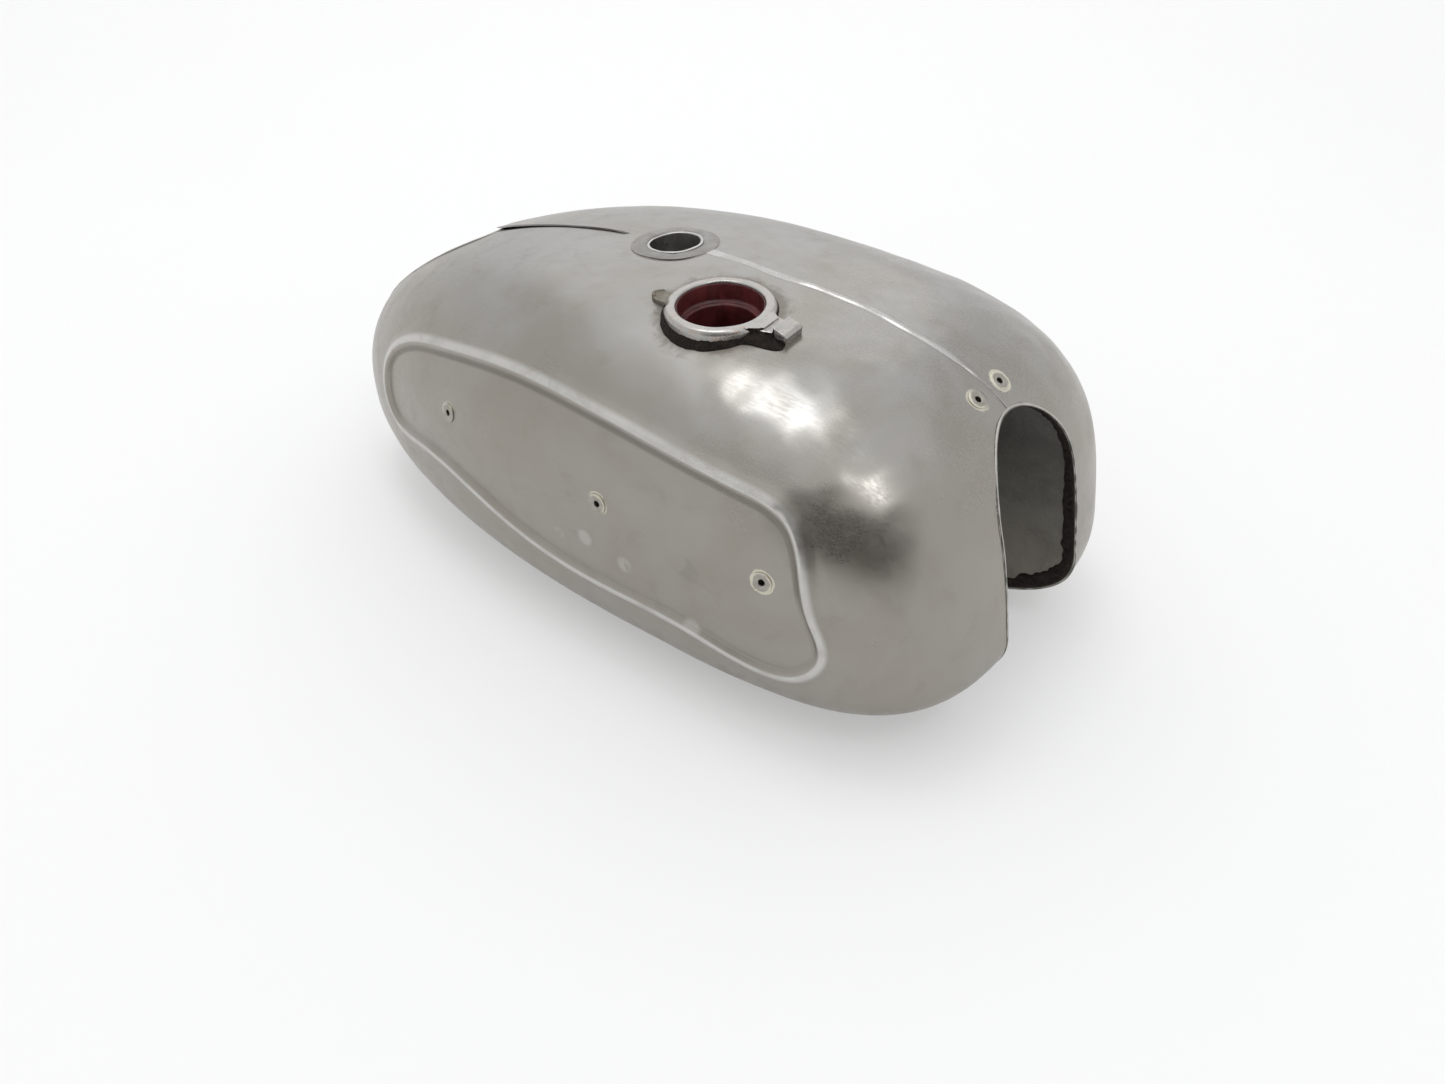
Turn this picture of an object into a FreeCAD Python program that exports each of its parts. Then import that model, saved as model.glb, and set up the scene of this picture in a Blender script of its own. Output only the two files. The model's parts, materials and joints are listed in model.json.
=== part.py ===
"""Saddle-type motorcycle fuel tank in bare sheet steel.

Two pressed half shells meet on a centre seam over an inverted-U tunnel that clears the
frame's top tube. One bolt through a vertical sleeve holds the tank down. All sizes are in
millimetres. +X is forwards, +Y is the rider's left, +Z is up, and the origin lies on the
surface that the tank rests on, below the middle of its length and width.
"""
import FreeCAD, Part
import math
import os

Vector = FreeCAD.Vector
X_AXIS = Vector(1, 0, 0)
Y_AXIS = Vector(0, 1, 0)
Z_AXIS = Vector(0, 0, 1)
RIGHT = -1
LEFT = 1
REAR = -1
FRONT = 1

# Outline of the body: half width, top and bottom at its widest station and at its two ends.
TAIL_X = -286.0
NOSE_X = 278.0
WIDEST_X = 54.0
HALF_WIDTH = 153.9
TAIL_HALF_WIDTH = 125.0
CROWN_Z = 221.5
NOSE_CROWN_Z = 206.3
TAIL_CROWN_Z = 165.2
BASE_Z = 0.0
TAIL_BASE_Z = 28.5
POLE_Z = 70.7
WAIST_Z = 99.8
TAIL_WAIST_Z = 66.8

# Roundness powers: 2 is an ellipse, and a higher power is squarer.
PLAN_POWER_FRONT = 4.1
PLAN_POWER_REAR = 2.83
CROWN_POWER_FRONT = 4.58
CROWN_POWER_REAR = 3.36
BASE_POWER = 2.37
WAIST_POWER = 3.0
SHOULDER_POWER = 2.75
TAIL_SHOULDER_POWER = 2.11
SILL_POWER = 3.9
NOSE_RAKE = 0.18

# Sheet and tunnel.
SHEET = 1.2
TUNNEL_SHEET = 1.5
TUNNEL_HALF_WIDTH = 47.0
TUNNEL_ROOF_Z = 183.3
RAIL_FOOT = ((-140.0, 20.0), (-100.0, 0.0), (146.0, 0.0), (180.0, 10.0))
RAIL_TOP_Z = 40.0

# Raised rib round each side panel, as the points of its centreline in (X, Z).
RIB_POINTS = [
    (-163.6, 144.0), (-108.6, 166.0), (-23.6, 180.0), (76.4, 177.5), (146.4, 171.5),
    (182.4, 160.0), (193.4, 139.0), (201.4, 110.0), (209.4, 84.0), (200.4, 68.5),
    (131.4, 64.5), (36.4, 65.5), (-38.6, 76.0), (-128.6, 87.5), (-179.6, 91.0), (-184.6, 118.0),
]
RIB_HALF_WIDTH = 5.5
RIB_HEIGHT = 2.4
PANEL_RECESS = 0.8
PANEL_STEP = 6.0
RIB_SAMPLES = 160

# Centre mounting sleeve.
SLEEVE_X = -8.2
SLEEVE_BORE_R = 16.5
SLEEVE_R = 18.5
SLEEVE_PROUD = 1.2
COLLAR_R = 26.0
COLLAR_HEIGHT = 0.8
SLEEVE_RING_R = 21.5
SLEEVE_RING_HEIGHT = 1.2

# Filler neck.
FILLER_X = 71.5
FILLER_Y = -55.2
FILLER_TOP_Z = 222.8
FILLER_TILT = 3.5
FILLER_BORE_R = 26.5
FILLER_RING_R = 33.4
FILLER_RING_CHAMFER = 1.6
FILLER_MOUTH_CHAMFER = 0.8
FILLER_CUP_BORE_R = 25.3
FILLER_SEAT_BORE_R = 21.8
FILLER_CUP_TOP_DROP = 2.0
FILLER_SEAT_DEPTH = 13.0
FILLER_SEAT_THICKNESS = 2.0
FILLER_CUP_BOTTOM_Z = 194.0
FILLER_BRAZE_R = 36.4
FILLER_BRAZE_HEIGHT = 2.4

# Hinge lug in front of the filler and catch lug behind it, for a hinged cap.
HINGE_ARM_LENGTH = 9.6
HINGE_ARM_WIDTH = 13.0
HINGE_ARM_THICKNESS = 4.5
HINGE_ARM_TOP_Z = 221.8
HINGE_KNUCKLE_LENGTH = 10.0
HINGE_KNUCKLE_WIDTH = 16.0
HINGE_KNUCKLE_TOP_Z = 224.0
HINGE_KNUCKLE_BOTTOM_Z = 213.6
HINGE_PIN_R = 1.6
HINGE_PIN_SETBACK = 2.4
CATCH_LENGTH = 13.5
CATCH_WIDTH = 15.0
CATCH_TURN = 10.0
CATCH_TOP_Z = 221.4
CATCH_TIP_Z = 220.4
CATCH_FOOT_Z = 200.0

# Tapped bosses: three behind each panel for a badge, two at the nose and one tap boss a side.
BADGE_BOSS_X = (-88.3, 53.6, 171.7)
BADGE_BOSS_Z = (129.6, 125.6, 123.3)
BADGE_BOSS_NAMES = ("rear", "middle", "front")
BOSS_R = 6.5
BOSS_BORE_R = 2.1
BOSS_LENGTH = 9.0
NOSE_BOSS_X = 221.4
NOSE_BOSS_Y = 13.1
TAP_BOSS_X = -158.6
TAP_BOSS_Y = 84.0
TAP_BOSS_R = 13.0
TAP_BOSS_BORE_R = 5.8
TAP_BOSS_SPIGOT_R = 7.8
TAP_BOSS_DROP = 8.0
TAP_BOSS_RISE = 7.0

# Centre seam: a ridge of weld in front of the sleeve and an open joint over a strip behind it.
RIDGE_HALF_WIDTH = 2.6
RIDGE_HEIGHT = 1.2
RIDGE_EDGE_HEIGHT = 0.02
RIDGE_START_X = 19.4
RIDGE_END_X = 233.4
RIDGE_STEP = 6.0
STRIP_FRACTIONS = (-1.0, -0.75, -0.5, -0.25, 0.0, 0.25, 0.5, 0.75, 1.0)
JOINT_HALF_GAP = 1.2
JOINT_START_X = -49.6
STRIP_HALF_WIDTH = 7.0
STRIP_THICKNESS = 1.2

# Base pans and the brazed rims of the tunnel's two mouths.
PAN_SETBACK = 26.0
PAN_LAP = 7.0
PAN_CUT_TOP_Z = 66.0
PAN_LAP_TOP_Z = 62.0
PAN_OUTLINE_STEP = 12.0
MOUTH_RIM_WIDTH = 9.0
MOUTH_RIM_THICKNESS = 0.9
MOUTH_RIM_START_X = 150.0

# Stations for the skin's surface: (from, to, step), finer where the rib crosses them.
TAIL_DEPTHS = (1.0, 3.0, 6.0, 10.0, 15.0)
NOSE_DEPTHS = (17.0, 12.0, 8.0, 5.5, 3.5, 2.0, 1.0, 0.4, 0.1)
X_SPANS = (
    (-263.0, -196.0, 8.0), (-196.0, -154.0, 2.4), (-154.0, 167.0, 6.0),
    (167.0, 218.0, 2.4), (218.0, 254.0, 6.0),
)
ARC_SPANS = ((0.0, 0.28, 0.02), (0.28, 0.62, 0.0054), (0.62, 1.0, 0.024))
SECTION_SAMPLES = 240
SPLINE_DEGREE = 3
NORMAL_STEP = 2.0
STATION_STEPS = 20
REACH = 400.0
EDGE_TOLERANCE = 0.01
SKIN_TOLERANCE = 0.001


def ease(t):
    """Smooth step from 0 to 1."""
    t = min(max(t, 0.0), 1.0)
    return t * t * (3.0 - 2.0 * t)


def share(x, start, end):
    """How far x lies from start towards end, from 0 to 1."""
    return min(max((x - start) / (end - start), 0.0), 1.0)


def taper(x, power_front, power_rear):
    """Superellipse factor: 1 at the widest station and 0 at the nose and the tail."""
    if x > WIDEST_X:
        return (1.0 - share(x, WIDEST_X, NOSE_X) ** power_front) ** (1.0 / power_front)
    return (1.0 - share(x, WIDEST_X, TAIL_X) ** power_rear) ** (1.0 / power_rear)


def section(x):
    """Half width, top, bottom, height of the widest line and top power at station x."""
    to_tail = share(x, WIDEST_X, TAIL_X) ** 2
    to_nose = share(x, WIDEST_X, NOSE_X) ** 2
    half_width = HALF_WIDTH + (TAIL_HALF_WIDTH - HALF_WIDTH) * to_tail
    half_width *= taper(x, PLAN_POWER_FRONT, PLAN_POWER_REAR)
    crown = CROWN_Z + (NOSE_CROWN_Z - CROWN_Z) * to_nose + (TAIL_CROWN_Z - CROWN_Z) * to_tail
    top = POLE_Z + (crown - POLE_Z) * taper(x, CROWN_POWER_FRONT, CROWN_POWER_REAR)
    base = BASE_Z + (TAIL_BASE_Z - BASE_Z) * to_tail
    bottom = POLE_Z - (POLE_Z - base) * taper(x, BASE_POWER, BASE_POWER)
    waist = WAIST_Z + (TAIL_WAIST_Z - WAIST_Z) * to_tail
    waist = POLE_Z + (waist - POLE_Z) * taper(x, WAIST_POWER, WAIST_POWER)
    power = SHOULDER_POWER + (TAIL_SHOULDER_POWER - SHOULDER_POWER) * to_tail
    return half_width, top, bottom, waist, power


def raked(x, z):
    """Forward position of station x at height z: the nose leans back towards its top."""
    return x - NOSE_RAKE * (z - POLE_Z) * ease(share(x, SLEEVE_X, NOSE_X))


def skin_z(x, y):
    """Height of the upper skin at station x and distance y from the centre plane."""
    half_width, top, bottom, waist, power = section(x)
    return waist + (top - waist) * (1.0 - min(abs(y) / half_width, 1.0) ** power) ** (1.0 / power)


def skin_y(x, z):
    """Distance of the side skin from the centre plane at station x and height z."""
    half_width, top, bottom, waist, power = section(x)
    if z > waist:
        return half_width * (1.0 - ((z - waist) / (top - waist)) ** power) ** (1.0 / power)
    return half_width * (1.0 - ((waist - z) / (waist - bottom)) ** SILL_POWER) ** (1.0 / SILL_POWER)


def station_at(x, z):
    """The station whose raked skin passes through forward position x at height z."""
    station = x
    for _ in range(STATION_STEPS):
        station = x + NOSE_RAKE * (z - POLE_Z) * ease(share(station, SLEEVE_X, NOSE_X))
    return station


def graded(spans):
    """Values along spans of (from, to, step), ends included."""
    values = []
    for start, stop, step in spans:
        count = max(1, round((stop - start) / step))
        values += [start + (stop - start) * k / count for k in range(count)]
    values.append(spans[-1][1])
    return values


def section_points(x, fractions):
    """Points (y, z) down one side of a section, at fractions of its length from the top."""
    half_width, top, bottom, waist, power = section(x)
    dense = []
    for k in range(SECTION_SAMPLES + 1):
        turn = math.pi * k / SECTION_SAMPLES
        upper = turn <= math.pi / 2.0
        n = power if upper else SILL_POWER
        reach = (top - waist) if upper else (bottom - waist)
        y = half_width * abs(math.sin(turn)) ** (2.0 / n)
        z = waist + reach * abs(math.cos(turn)) ** (2.0 / n)
        dense.append((y, z))
    dense[-1] = (0.0, bottom)
    lengths = [0.0]
    for a, b in zip(dense, dense[1:]):
        lengths.append(lengths[-1] + math.hypot(b[0] - a[0], b[1] - a[1]))
    points = []
    k = 0
    for fraction in fractions:
        target = fraction * lengths[-1]
        while k < SECTION_SAMPLES - 1 and lengths[k + 1] < target:
            k += 1
        t = (target - lengths[k]) / (lengths[k + 1] - lengths[k])
        a, b = dense[k], dense[k + 1]
        points.append((a[0] + (b[0] - a[0]) * t, a[1] + (b[1] - a[1]) * t))
    return points


def rib_outline():
    """Closed centreline of the panel's rib as short straight pieces in (X, Z)."""
    curve = Part.BSplineCurve()
    curve.interpolate([Vector(x, 0, z) for x, z in RIB_POINTS], PeriodicFlag=True)
    return [(p.x, p.z) for p in curve.discretize(Number=RIB_SAMPLES + 1)[:-1]]


def signed_distance(x, z, outline):
    """Distance from (x, z) to the outline, negative inside it."""
    nearest = REACH
    inside = False
    for (ax, az), (bx, bz) in zip(outline, outline[1:] + outline[:1]):
        dx, dz = bx - ax, bz - az
        t = min(max(((x - ax) * dx + (z - az) * dz) / (dx * dx + dz * dz), 0.0), 1.0)
        nearest = min(nearest, math.hypot(x - ax - t * dx, z - az - t * dz))
        if (az > z) != (bz > z) and x < ax + dx * (z - az) / dz:
            inside = not inside
    return -nearest if inside else nearest


def pressing(distance):
    """How far the press pushes the skin out, at a distance from the rib's centreline."""
    height = -PANEL_RECESS * ease(-distance / PANEL_STEP)
    if abs(distance) < RIB_HALF_WIDTH:
        height += RIB_HEIGHT * math.cos(math.pi * distance / (2.0 * RIB_HALF_WIDTH)) ** 2
    return height


def skin_grid():
    """One half's points, outward normals and pressed heights, on the positive-Y side."""
    tail = [TAIL_X + depth for depth in TAIL_DEPTHS]
    nose = [NOSE_X - depth for depth in NOSE_DEPTHS]
    stations = tail + graded(X_SPANS) + nose
    fractions = graded(ARC_SPANS)
    outline = rib_outline()
    low_x = min(x for x, z in outline) - RIB_HALF_WIDTH
    high_x = max(x for x, z in outline) + RIB_HALF_WIDTH
    low_z = min(z for x, z in outline) - RIB_HALF_WIDTH
    high_z = max(z for x, z in outline) + RIB_HALF_WIDTH
    points = []
    for x in stations:
        points.append([Vector(raked(x, z), y, z) for y, z in section_points(x, fractions)])
    rows, columns = len(stations), len(fractions)
    normals = []
    heights = []
    for i in range(rows):
        before, after = points[max(i - 1, 0)], points[min(i + 1, rows - 1)]
        normal_row = []
        height_row = []
        for j in range(columns):
            along = after[j] - before[j]
            down = points[i][min(j + 1, columns - 1)] - points[i][max(j - 1, 0)]
            normal = along.cross(down)
            if j in (0, columns - 1):
                normal.y = 0.0
            normal.normalize()
            normal_row.append(normal)
            p = points[i][j]
            if low_x < p.x < high_x and low_z < p.z < high_z and p.y > TUNNEL_HALF_WIDTH:
                height_row.append(pressing(signed_distance(p.x, p.z, outline)))
            else:
                height_row.append(0.0)
        normals.append(normal_row)
        heights.append(height_row)
    return points, normals, heights


def layer(grid, depth, pressed):
    """The skin's points at a depth below its outside, with or without the panel's rib."""
    points, normals, heights = grid
    rows = []
    for point_row, normal_row, height_row in zip(points, normals, heights):
        row = []
        for point, normal, height in zip(point_row, normal_row, height_row):
            row.append(point + normal * ((height if pressed else 0.0) - depth))
        rows.append(row)
    return rows


def on_side(rows, side):
    """The same points on the right or the left side."""
    return [[Vector(p.x, side * p.y, p.z) for p in row] for row in rows]


def knot_line(count):
    """Evenly spaced knots of a clamped cubic with this many poles, and their multiplicities."""
    spans = count - SPLINE_DEGREE
    knots = [float(k) for k in range(spans + 1)]
    ends = SPLINE_DEGREE + 1
    return knots, [ends] + [1] * (spans - 1) + [ends]


def surface_face(rows):
    """Smooth cubic face shaped by a close grid of points."""
    row_knots, row_mults = knot_line(len(rows))
    column_knots, column_mults = knot_line(len(rows[0]))
    surface = Part.BSplineSurface()
    surface.buildFromPolesMultsKnots(
        rows, row_mults, column_mults, row_knots, column_knots,
        False, False, SPLINE_DEGREE, SPLINE_DEGREE)
    return surface.toShape()


def plate(outer_rows, inner_rows):
    """Solid sheet between two grids of points."""
    outer = surface_face(outer_rows)
    inner = surface_face(inner_rows)
    edges = [Part.makeRuledSurface(a, b) for a, b in zip(outer.Edges, inner.Edges)]
    return closed_solid([outer, inner] + edges)


def closed_solid(faces):
    """Solid inside a closed set of faces."""
    shell = Part.makeShell(faces)
    shell.sewShape()
    return Part.makeSolid(shell)


def envelope(grid, depth):
    """Closed volume of the whole body at a depth below its outside."""
    rows = layer(grid, depth, False)
    right = surface_face(on_side(rows, RIGHT))
    left = surface_face(on_side(rows, LEFT))
    ends = [Part.makeRuledSurface(a, b) for a, b in zip(right.Edges, left.Edges) if not is_centre(a)]
    return closed_solid([right, left] + ends)


def is_centre(edge):
    """True for an edge that lies in the centre plane."""
    return edge.BoundBox.YLength < EDGE_TOLERANCE


def tunnel_prism(spread):
    """Inverted-U prism as wide and high as the tunnel, plus spread, open downwards."""
    half = TUNNEL_HALF_WIDTH + spread
    roof = TUNNEL_ROOF_Z + spread
    spring = roof - half
    left_foot = Vector(-REACH, half, -REACH)
    left_spring = Vector(-REACH, half, spring)
    right_spring = Vector(-REACH, -half, spring)
    right_foot = Vector(-REACH, -half, -REACH)
    arch = Part.Arc(left_spring, Vector(-REACH, 0, roof), right_spring).toShape()
    wire = Part.Wire([
        Part.makeLine(left_foot, left_spring), arch,
        Part.makeLine(right_spring, right_foot), Part.makeLine(right_foot, left_foot),
    ])
    return Part.Face(wire).extrude(X_AXIS * 2 * REACH)


def within(shape, volume):
    """The part of a shape inside a volume with curved skins."""
    return shape.common([volume], SKIN_TOLERANCE)


def outside(shape, volume):
    """The part of a shape outside a volume with curved skins."""
    return shape.cut([volume], SKIN_TOLERANCE)


def slab(low, high):
    """Box between two corners."""
    return Part.makeBox(high[0] - low[0], high[1] - low[1], high[2] - low[2], Vector(*low))


def post(radius, x, y, low, high):
    """Vertical cylinder between two heights."""
    return Part.makeCylinder(radius, high - low, Vector(x, y, low), Z_AXIS)


def tube(outer, inner, x, y, low, high):
    """Vertical tube between two heights."""
    return post(outer, x, y, low, high).cut(post(inner, x, y, low, high))


def pan_prism(side, setback, low, high):
    """Upright prism of one base pan's plan outline, set back from the widest outline."""
    count = round((NOSE_X - TAIL_X - 2 * setback) / PAN_OUTLINE_STEP)
    points = []
    for k in range(1, count):
        turn = math.pi * k / count
        x = (TAIL_X + NOSE_X) / 2 - (NOSE_X - TAIL_X - 2 * setback) / 2 * math.cos(turn)
        y = skin_half_width_at(x) - setback
        if y > TUNNEL_HALF_WIDTH:
            points.append(Vector(raked(x, BASE_Z), side * y, low))
    curve = Part.BSplineCurve()
    curve.interpolate(points)
    rear, front = points[0], points[-1]
    rear_foot = Vector(rear.x, 0, low)
    front_foot = Vector(front.x, 0, low)
    wire = Part.Wire([
        Part.makeLine(rear_foot, rear), curve.toShape(),
        Part.makeLine(front, front_foot), Part.makeLine(front_foot, rear_foot),
    ])
    return Part.Face(wire).extrude(Z_AXIS * (high - low))


def skin_half_width_at(x):
    """Half width of the body at station x."""
    return section(x)[0]


def panel_normal(x, z):
    """Outward normal of the positive-Y side skin at forward position x and height z."""
    step = NORMAL_STEP
    ahead = skin_y(station_at(x + step, z), z)
    behind = skin_y(station_at(x - step, z), z)
    above = skin_y(station_at(x, z + step), z + step)
    below = skin_y(station_at(x, z - step), z - step)
    normal = Vector(-(ahead - behind) / (2 * step), 1.0, -(above - below) / (2 * step))
    return normal.normalize()


def crown_normal(x, y):
    """Outward normal of the upper skin at station x and distance y from the centre plane."""
    step = NORMAL_STEP
    along = Vector(raked(x + step, skin_z(x + step, y)), y, skin_z(x + step, y))
    along -= Vector(raked(x - step, skin_z(x - step, y)), y, skin_z(x - step, y))
    across = Vector(raked(x, skin_z(x, y + step)), y + step, skin_z(x, y + step))
    across -= Vector(raked(x, skin_z(x, y - step)), y - step, skin_z(x, y - step))
    return along.cross(across).normalize()


def badge_boss_seats(side):
    """Outside centre and outward normal of each badge boss on one side."""
    seats = []
    for x, z in zip(BADGE_BOSS_X, BADGE_BOSS_Z):
        normal = panel_normal(x, z)
        centre = Vector(x, skin_y(station_at(x, z), z), z) - normal * PANEL_RECESS
        seats.append((Vector(centre.x, side * centre.y, centre.z),
                      Vector(normal.x, side * normal.y, normal.z)))
    return seats


def nose_boss_seat(side):
    """Outside centre and outward normal of one nose boss."""
    z = skin_z(station_at(NOSE_BOSS_X, TUNNEL_ROOF_Z), NOSE_BOSS_Y)
    station = station_at(NOSE_BOSS_X, z)
    normal = crown_normal(station, NOSE_BOSS_Y)
    centre = Vector(raked(station, skin_z(station, NOSE_BOSS_Y)), NOSE_BOSS_Y,
                    skin_z(station, NOSE_BOSS_Y))
    return (Vector(centre.x, side * centre.y, centre.z),
            Vector(normal.x, side * normal.y, normal.z))


def boss_cylinder(seat, radius, inward, outward):
    """Cylinder on a boss's axis, from a depth inside the skin to a height outside it."""
    centre, normal = seat
    return Part.makeCylinder(radius, inward + outward, centre - normal * inward, normal)


def tapped_boss(seat):
    """Round boss with its outer face flush with the skin and a tapped hole through it."""
    body = boss_cylinder(seat, BOSS_R, BOSS_LENGTH, 0.0)
    return body.cut(boss_cylinder(seat, BOSS_BORE_R, BOSS_LENGTH, 0.0))


def half_shell(side, grid):
    """Pressed outer half: crown, side panel and rolled sill, with all its holes."""
    outer = on_side(layer(grid, 0.0, True), side)
    inner = on_side(layer(grid, SHEET, True), side)
    joint_low = (-REACH, -JOINT_HALF_GAP, POLE_Z)
    cutters = [
        tunnel_prism(TUNNEL_SHEET), pan_prism(side, PAN_SETBACK, -PAN_CUT_TOP_Z, PAN_CUT_TOP_Z),
        post(SLEEVE_R, SLEEVE_X, 0, TUNNEL_ROOF_Z, REACH),
        slab(joint_low, (JOINT_START_X, JOINT_HALF_GAP, REACH)),
    ]
    for seat in badge_boss_seats(side) + [nose_boss_seat(side)]:
        cutters.append(boss_cylinder(seat, BOSS_R, BOSS_LENGTH, BOSS_LENGTH))
    if side == RIGHT:
        cutters.append(tilted(post(FILLER_BORE_R, FILLER_X, FILLER_Y, TUNNEL_ROOF_Z, REACH)))
    return plate(outer, inner).cut(cutters, SKIN_TOLERANCE)


def tunnel_channel(body):
    """Inverted-U channel through the tank, flush with the shells at both mouths."""
    channel = tunnel_prism(TUNNEL_SHEET).cut(tunnel_prism(0.0))
    channel = channel.cut(post(SLEEVE_R, SLEEVE_X, 0, POLE_Z, REACH))
    rails = channel.common(rail_prism())
    return within(channel, body).fuse(rails).removeSplitter()


def rail_prism():
    """Block whose straight foot lets the channel's lower edges stand on a flat surface."""
    corners = [(x, z) for x, z in RAIL_FOOT]
    corners += [(RAIL_FOOT[-1][0], RAIL_TOP_Z), (RAIL_FOOT[0][0], RAIL_TOP_Z), RAIL_FOOT[0]]
    outline = Part.makePolygon([Vector(x, -REACH, z) for x, z in corners])
    return Part.Face(outline).extrude(Y_AXIS * 2 * REACH)


def base_pan(side, grid):
    """Pan that closes one lobe from below, lapped inside the shell's sill."""
    outer = on_side(layer(grid, SHEET, False), side)
    inner = on_side(layer(grid, 2 * SHEET, False), side)
    outline = pan_prism(side, PAN_SETBACK - PAN_LAP, -PAN_CUT_TOP_Z, PAN_LAP_TOP_Z)
    outline = outline.cut(tunnel_prism(TUNNEL_SHEET))
    outline = outline.cut(post(TAP_BOSS_SPIGOT_R, TAP_BOSS_X, side * TAP_BOSS_Y, -REACH, POLE_Z))
    return within(outline, plate(outer, inner))


def tap_boss(side, grid):
    """Threaded boss for a fuel tap, on the inside of one base pan over a hole in it."""
    x, y = TAP_BOSS_X, side * TAP_BOSS_Y
    floor_z = pan_floor_z(TAP_BOSS_X, TAP_BOSS_Y)
    spigot = post(TAP_BOSS_SPIGOT_R, x, y, floor_z, floor_z + TAP_BOSS_RISE)
    flange = post(TAP_BOSS_R, x, y, floor_z - TAP_BOSS_DROP, floor_z + TAP_BOSS_DROP)
    under_rows = on_side(layer(grid, SHEET, False), side)
    lowered = [[Vector(p.x, p.y, p.z - REACH) for p in row] for row in under_rows]
    boss = within(flange, plate(under_rows, lowered)).fuse(spigot)
    return boss.cut(post(TAP_BOSS_BORE_R, x, y, -REACH, REACH))


def pan_floor_z(x, y):
    """Height of the base pan's underside at station x and distance y from the centre."""
    half_width, top, bottom, waist, power = section(x)
    drop = (1.0 - (y / half_width) ** SILL_POWER) ** (1.0 / SILL_POWER)
    return waist - (waist - bottom) * drop + SHEET


def mouth_rim(body, end):
    """Band of braze inside one tunnel mouth, along the edge of the channel and the shells."""
    band = tunnel_prism(0.0).cut(tunnel_prism(-MOUTH_RIM_THICKNESS))
    start = end * MOUTH_RIM_START_X
    band = band.common(slab((min(start, end * REACH), -REACH, BASE_Z + MOUTH_RIM_WIDTH),
                            (max(start, end * REACH), REACH, REACH)))
    set_back = body.translated(X_AXIS * -end * MOUTH_RIM_WIDTH)
    return outside(within(band, body), set_back)


def strip_rows(half_width, low, high, start_x, end_x, step):
    """Grid across the crown's centre line: heights low at the edges and high at the middle."""
    rows = []
    for x in graded(((start_x, end_x, step),)):
        row = []
        for across in STRIP_FRACTIONS:
            y = across * half_width
            z = skin_z(x, y) + low + (high - low) * (1.0 - across * across)
            row.append(Vector(raked(x, z), y, z))
        rows.append(row)
    return rows


def seam_ridge():
    """Ground weld that stands along the crown in front of the sleeve."""
    top = strip_rows(RIDGE_HALF_WIDTH, RIDGE_EDGE_HEIGHT, RIDGE_HEIGHT, RIDGE_START_X, RIDGE_END_X, RIDGE_STEP)
    foot = strip_rows(RIDGE_HALF_WIDTH, 0.0, 0.0, RIDGE_START_X, RIDGE_END_X, RIDGE_STEP)
    return plate(top, foot).cut(tunnel_prism(TUNNEL_SHEET))


def joint_strip(grid):
    """Backing strip below the open joint behind the sleeve, against the inside of both halves."""
    corridor = slab((-REACH, -STRIP_HALF_WIDTH, POLE_Z), (JOINT_START_X, STRIP_HALF_WIDTH, REACH))
    corridor = corridor.cut(tunnel_prism(TUNNEL_SHEET))
    halves = []
    for side in (RIGHT, LEFT):
        outer = on_side(layer(grid, SHEET, False), side)
        inner = on_side(layer(grid, SHEET + STRIP_THICKNESS, False), side)
        halves.append(within(corridor, plate(outer, inner)))
    return halves[0].fuse(halves[1]).removeSplitter()


def centre_sleeve(body):
    """Tube for the centre bolt, from the crown to the tunnel's roof."""
    sleeve = tube(SLEEVE_R, SLEEVE_BORE_R, SLEEVE_X, 0, POLE_Z, REACH)
    sleeve = sleeve.cut(tunnel_prism(0.0))
    return within(sleeve, body.translated(Z_AXIS * SLEEVE_PROUD))


def centre_collar(body):
    """Low weld collar round the sleeve on the crown."""
    collar = tube(COLLAR_R, SLEEVE_R, SLEEVE_X, 0, TUNNEL_ROOF_Z, REACH)
    return outside(within(collar, body.translated(Z_AXIS * COLLAR_HEIGHT)), body)


def sleeve_ring():
    """Weld ring round the sleeve's lower end, under the tunnel's roof."""
    ring = tube(SLEEVE_RING_R, SLEEVE_BORE_R, SLEEVE_X, 0, POLE_Z, REACH)
    lowered = tunnel_prism(0.0).translated(-Z_AXIS * SLEEVE_RING_HEIGHT)
    return ring.common(tunnel_prism(0.0)).cut(lowered)


def tilted(shape):
    """A shape drawn round an upright neck, leant outwards with the neck."""
    return shape.rotated(Vector(FILLER_X, FILLER_Y, FILLER_TOP_Z), X_AXIS, FILLER_TILT)


def filler_ring(body):
    """Turned neck ring that stands on the skin, with a flat land and chamfered edges."""
    ring = tube(FILLER_RING_R, FILLER_BORE_R, FILLER_X, FILLER_Y, TUNNEL_ROOF_Z, FILLER_TOP_Z)
    outer_edges = [e for e in ring.Edges if at_height(e, FILLER_TOP_Z) and is_circle(e, FILLER_RING_R)]
    ring = ring.makeChamfer(FILLER_RING_CHAMFER, outer_edges)
    inner_edges = [e for e in ring.Edges if at_height(e, FILLER_TOP_Z) and is_circle(e, FILLER_BORE_R)]
    ring = ring.makeChamfer(FILLER_MOUTH_CHAMFER, inner_edges)
    return outside(tilted(ring), body)


def at_height(edge, z):
    """True when an edge's middle lies at a height."""
    return abs(edge.BoundBox.Center.z - z) < EDGE_TOLERANCE


def is_circle(edge, radius):
    """True when an edge is a circle of a radius."""
    return isinstance(edge.Curve, Part.Circle) and abs(edge.Curve.Radius - radius) < EDGE_TOLERANCE


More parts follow.
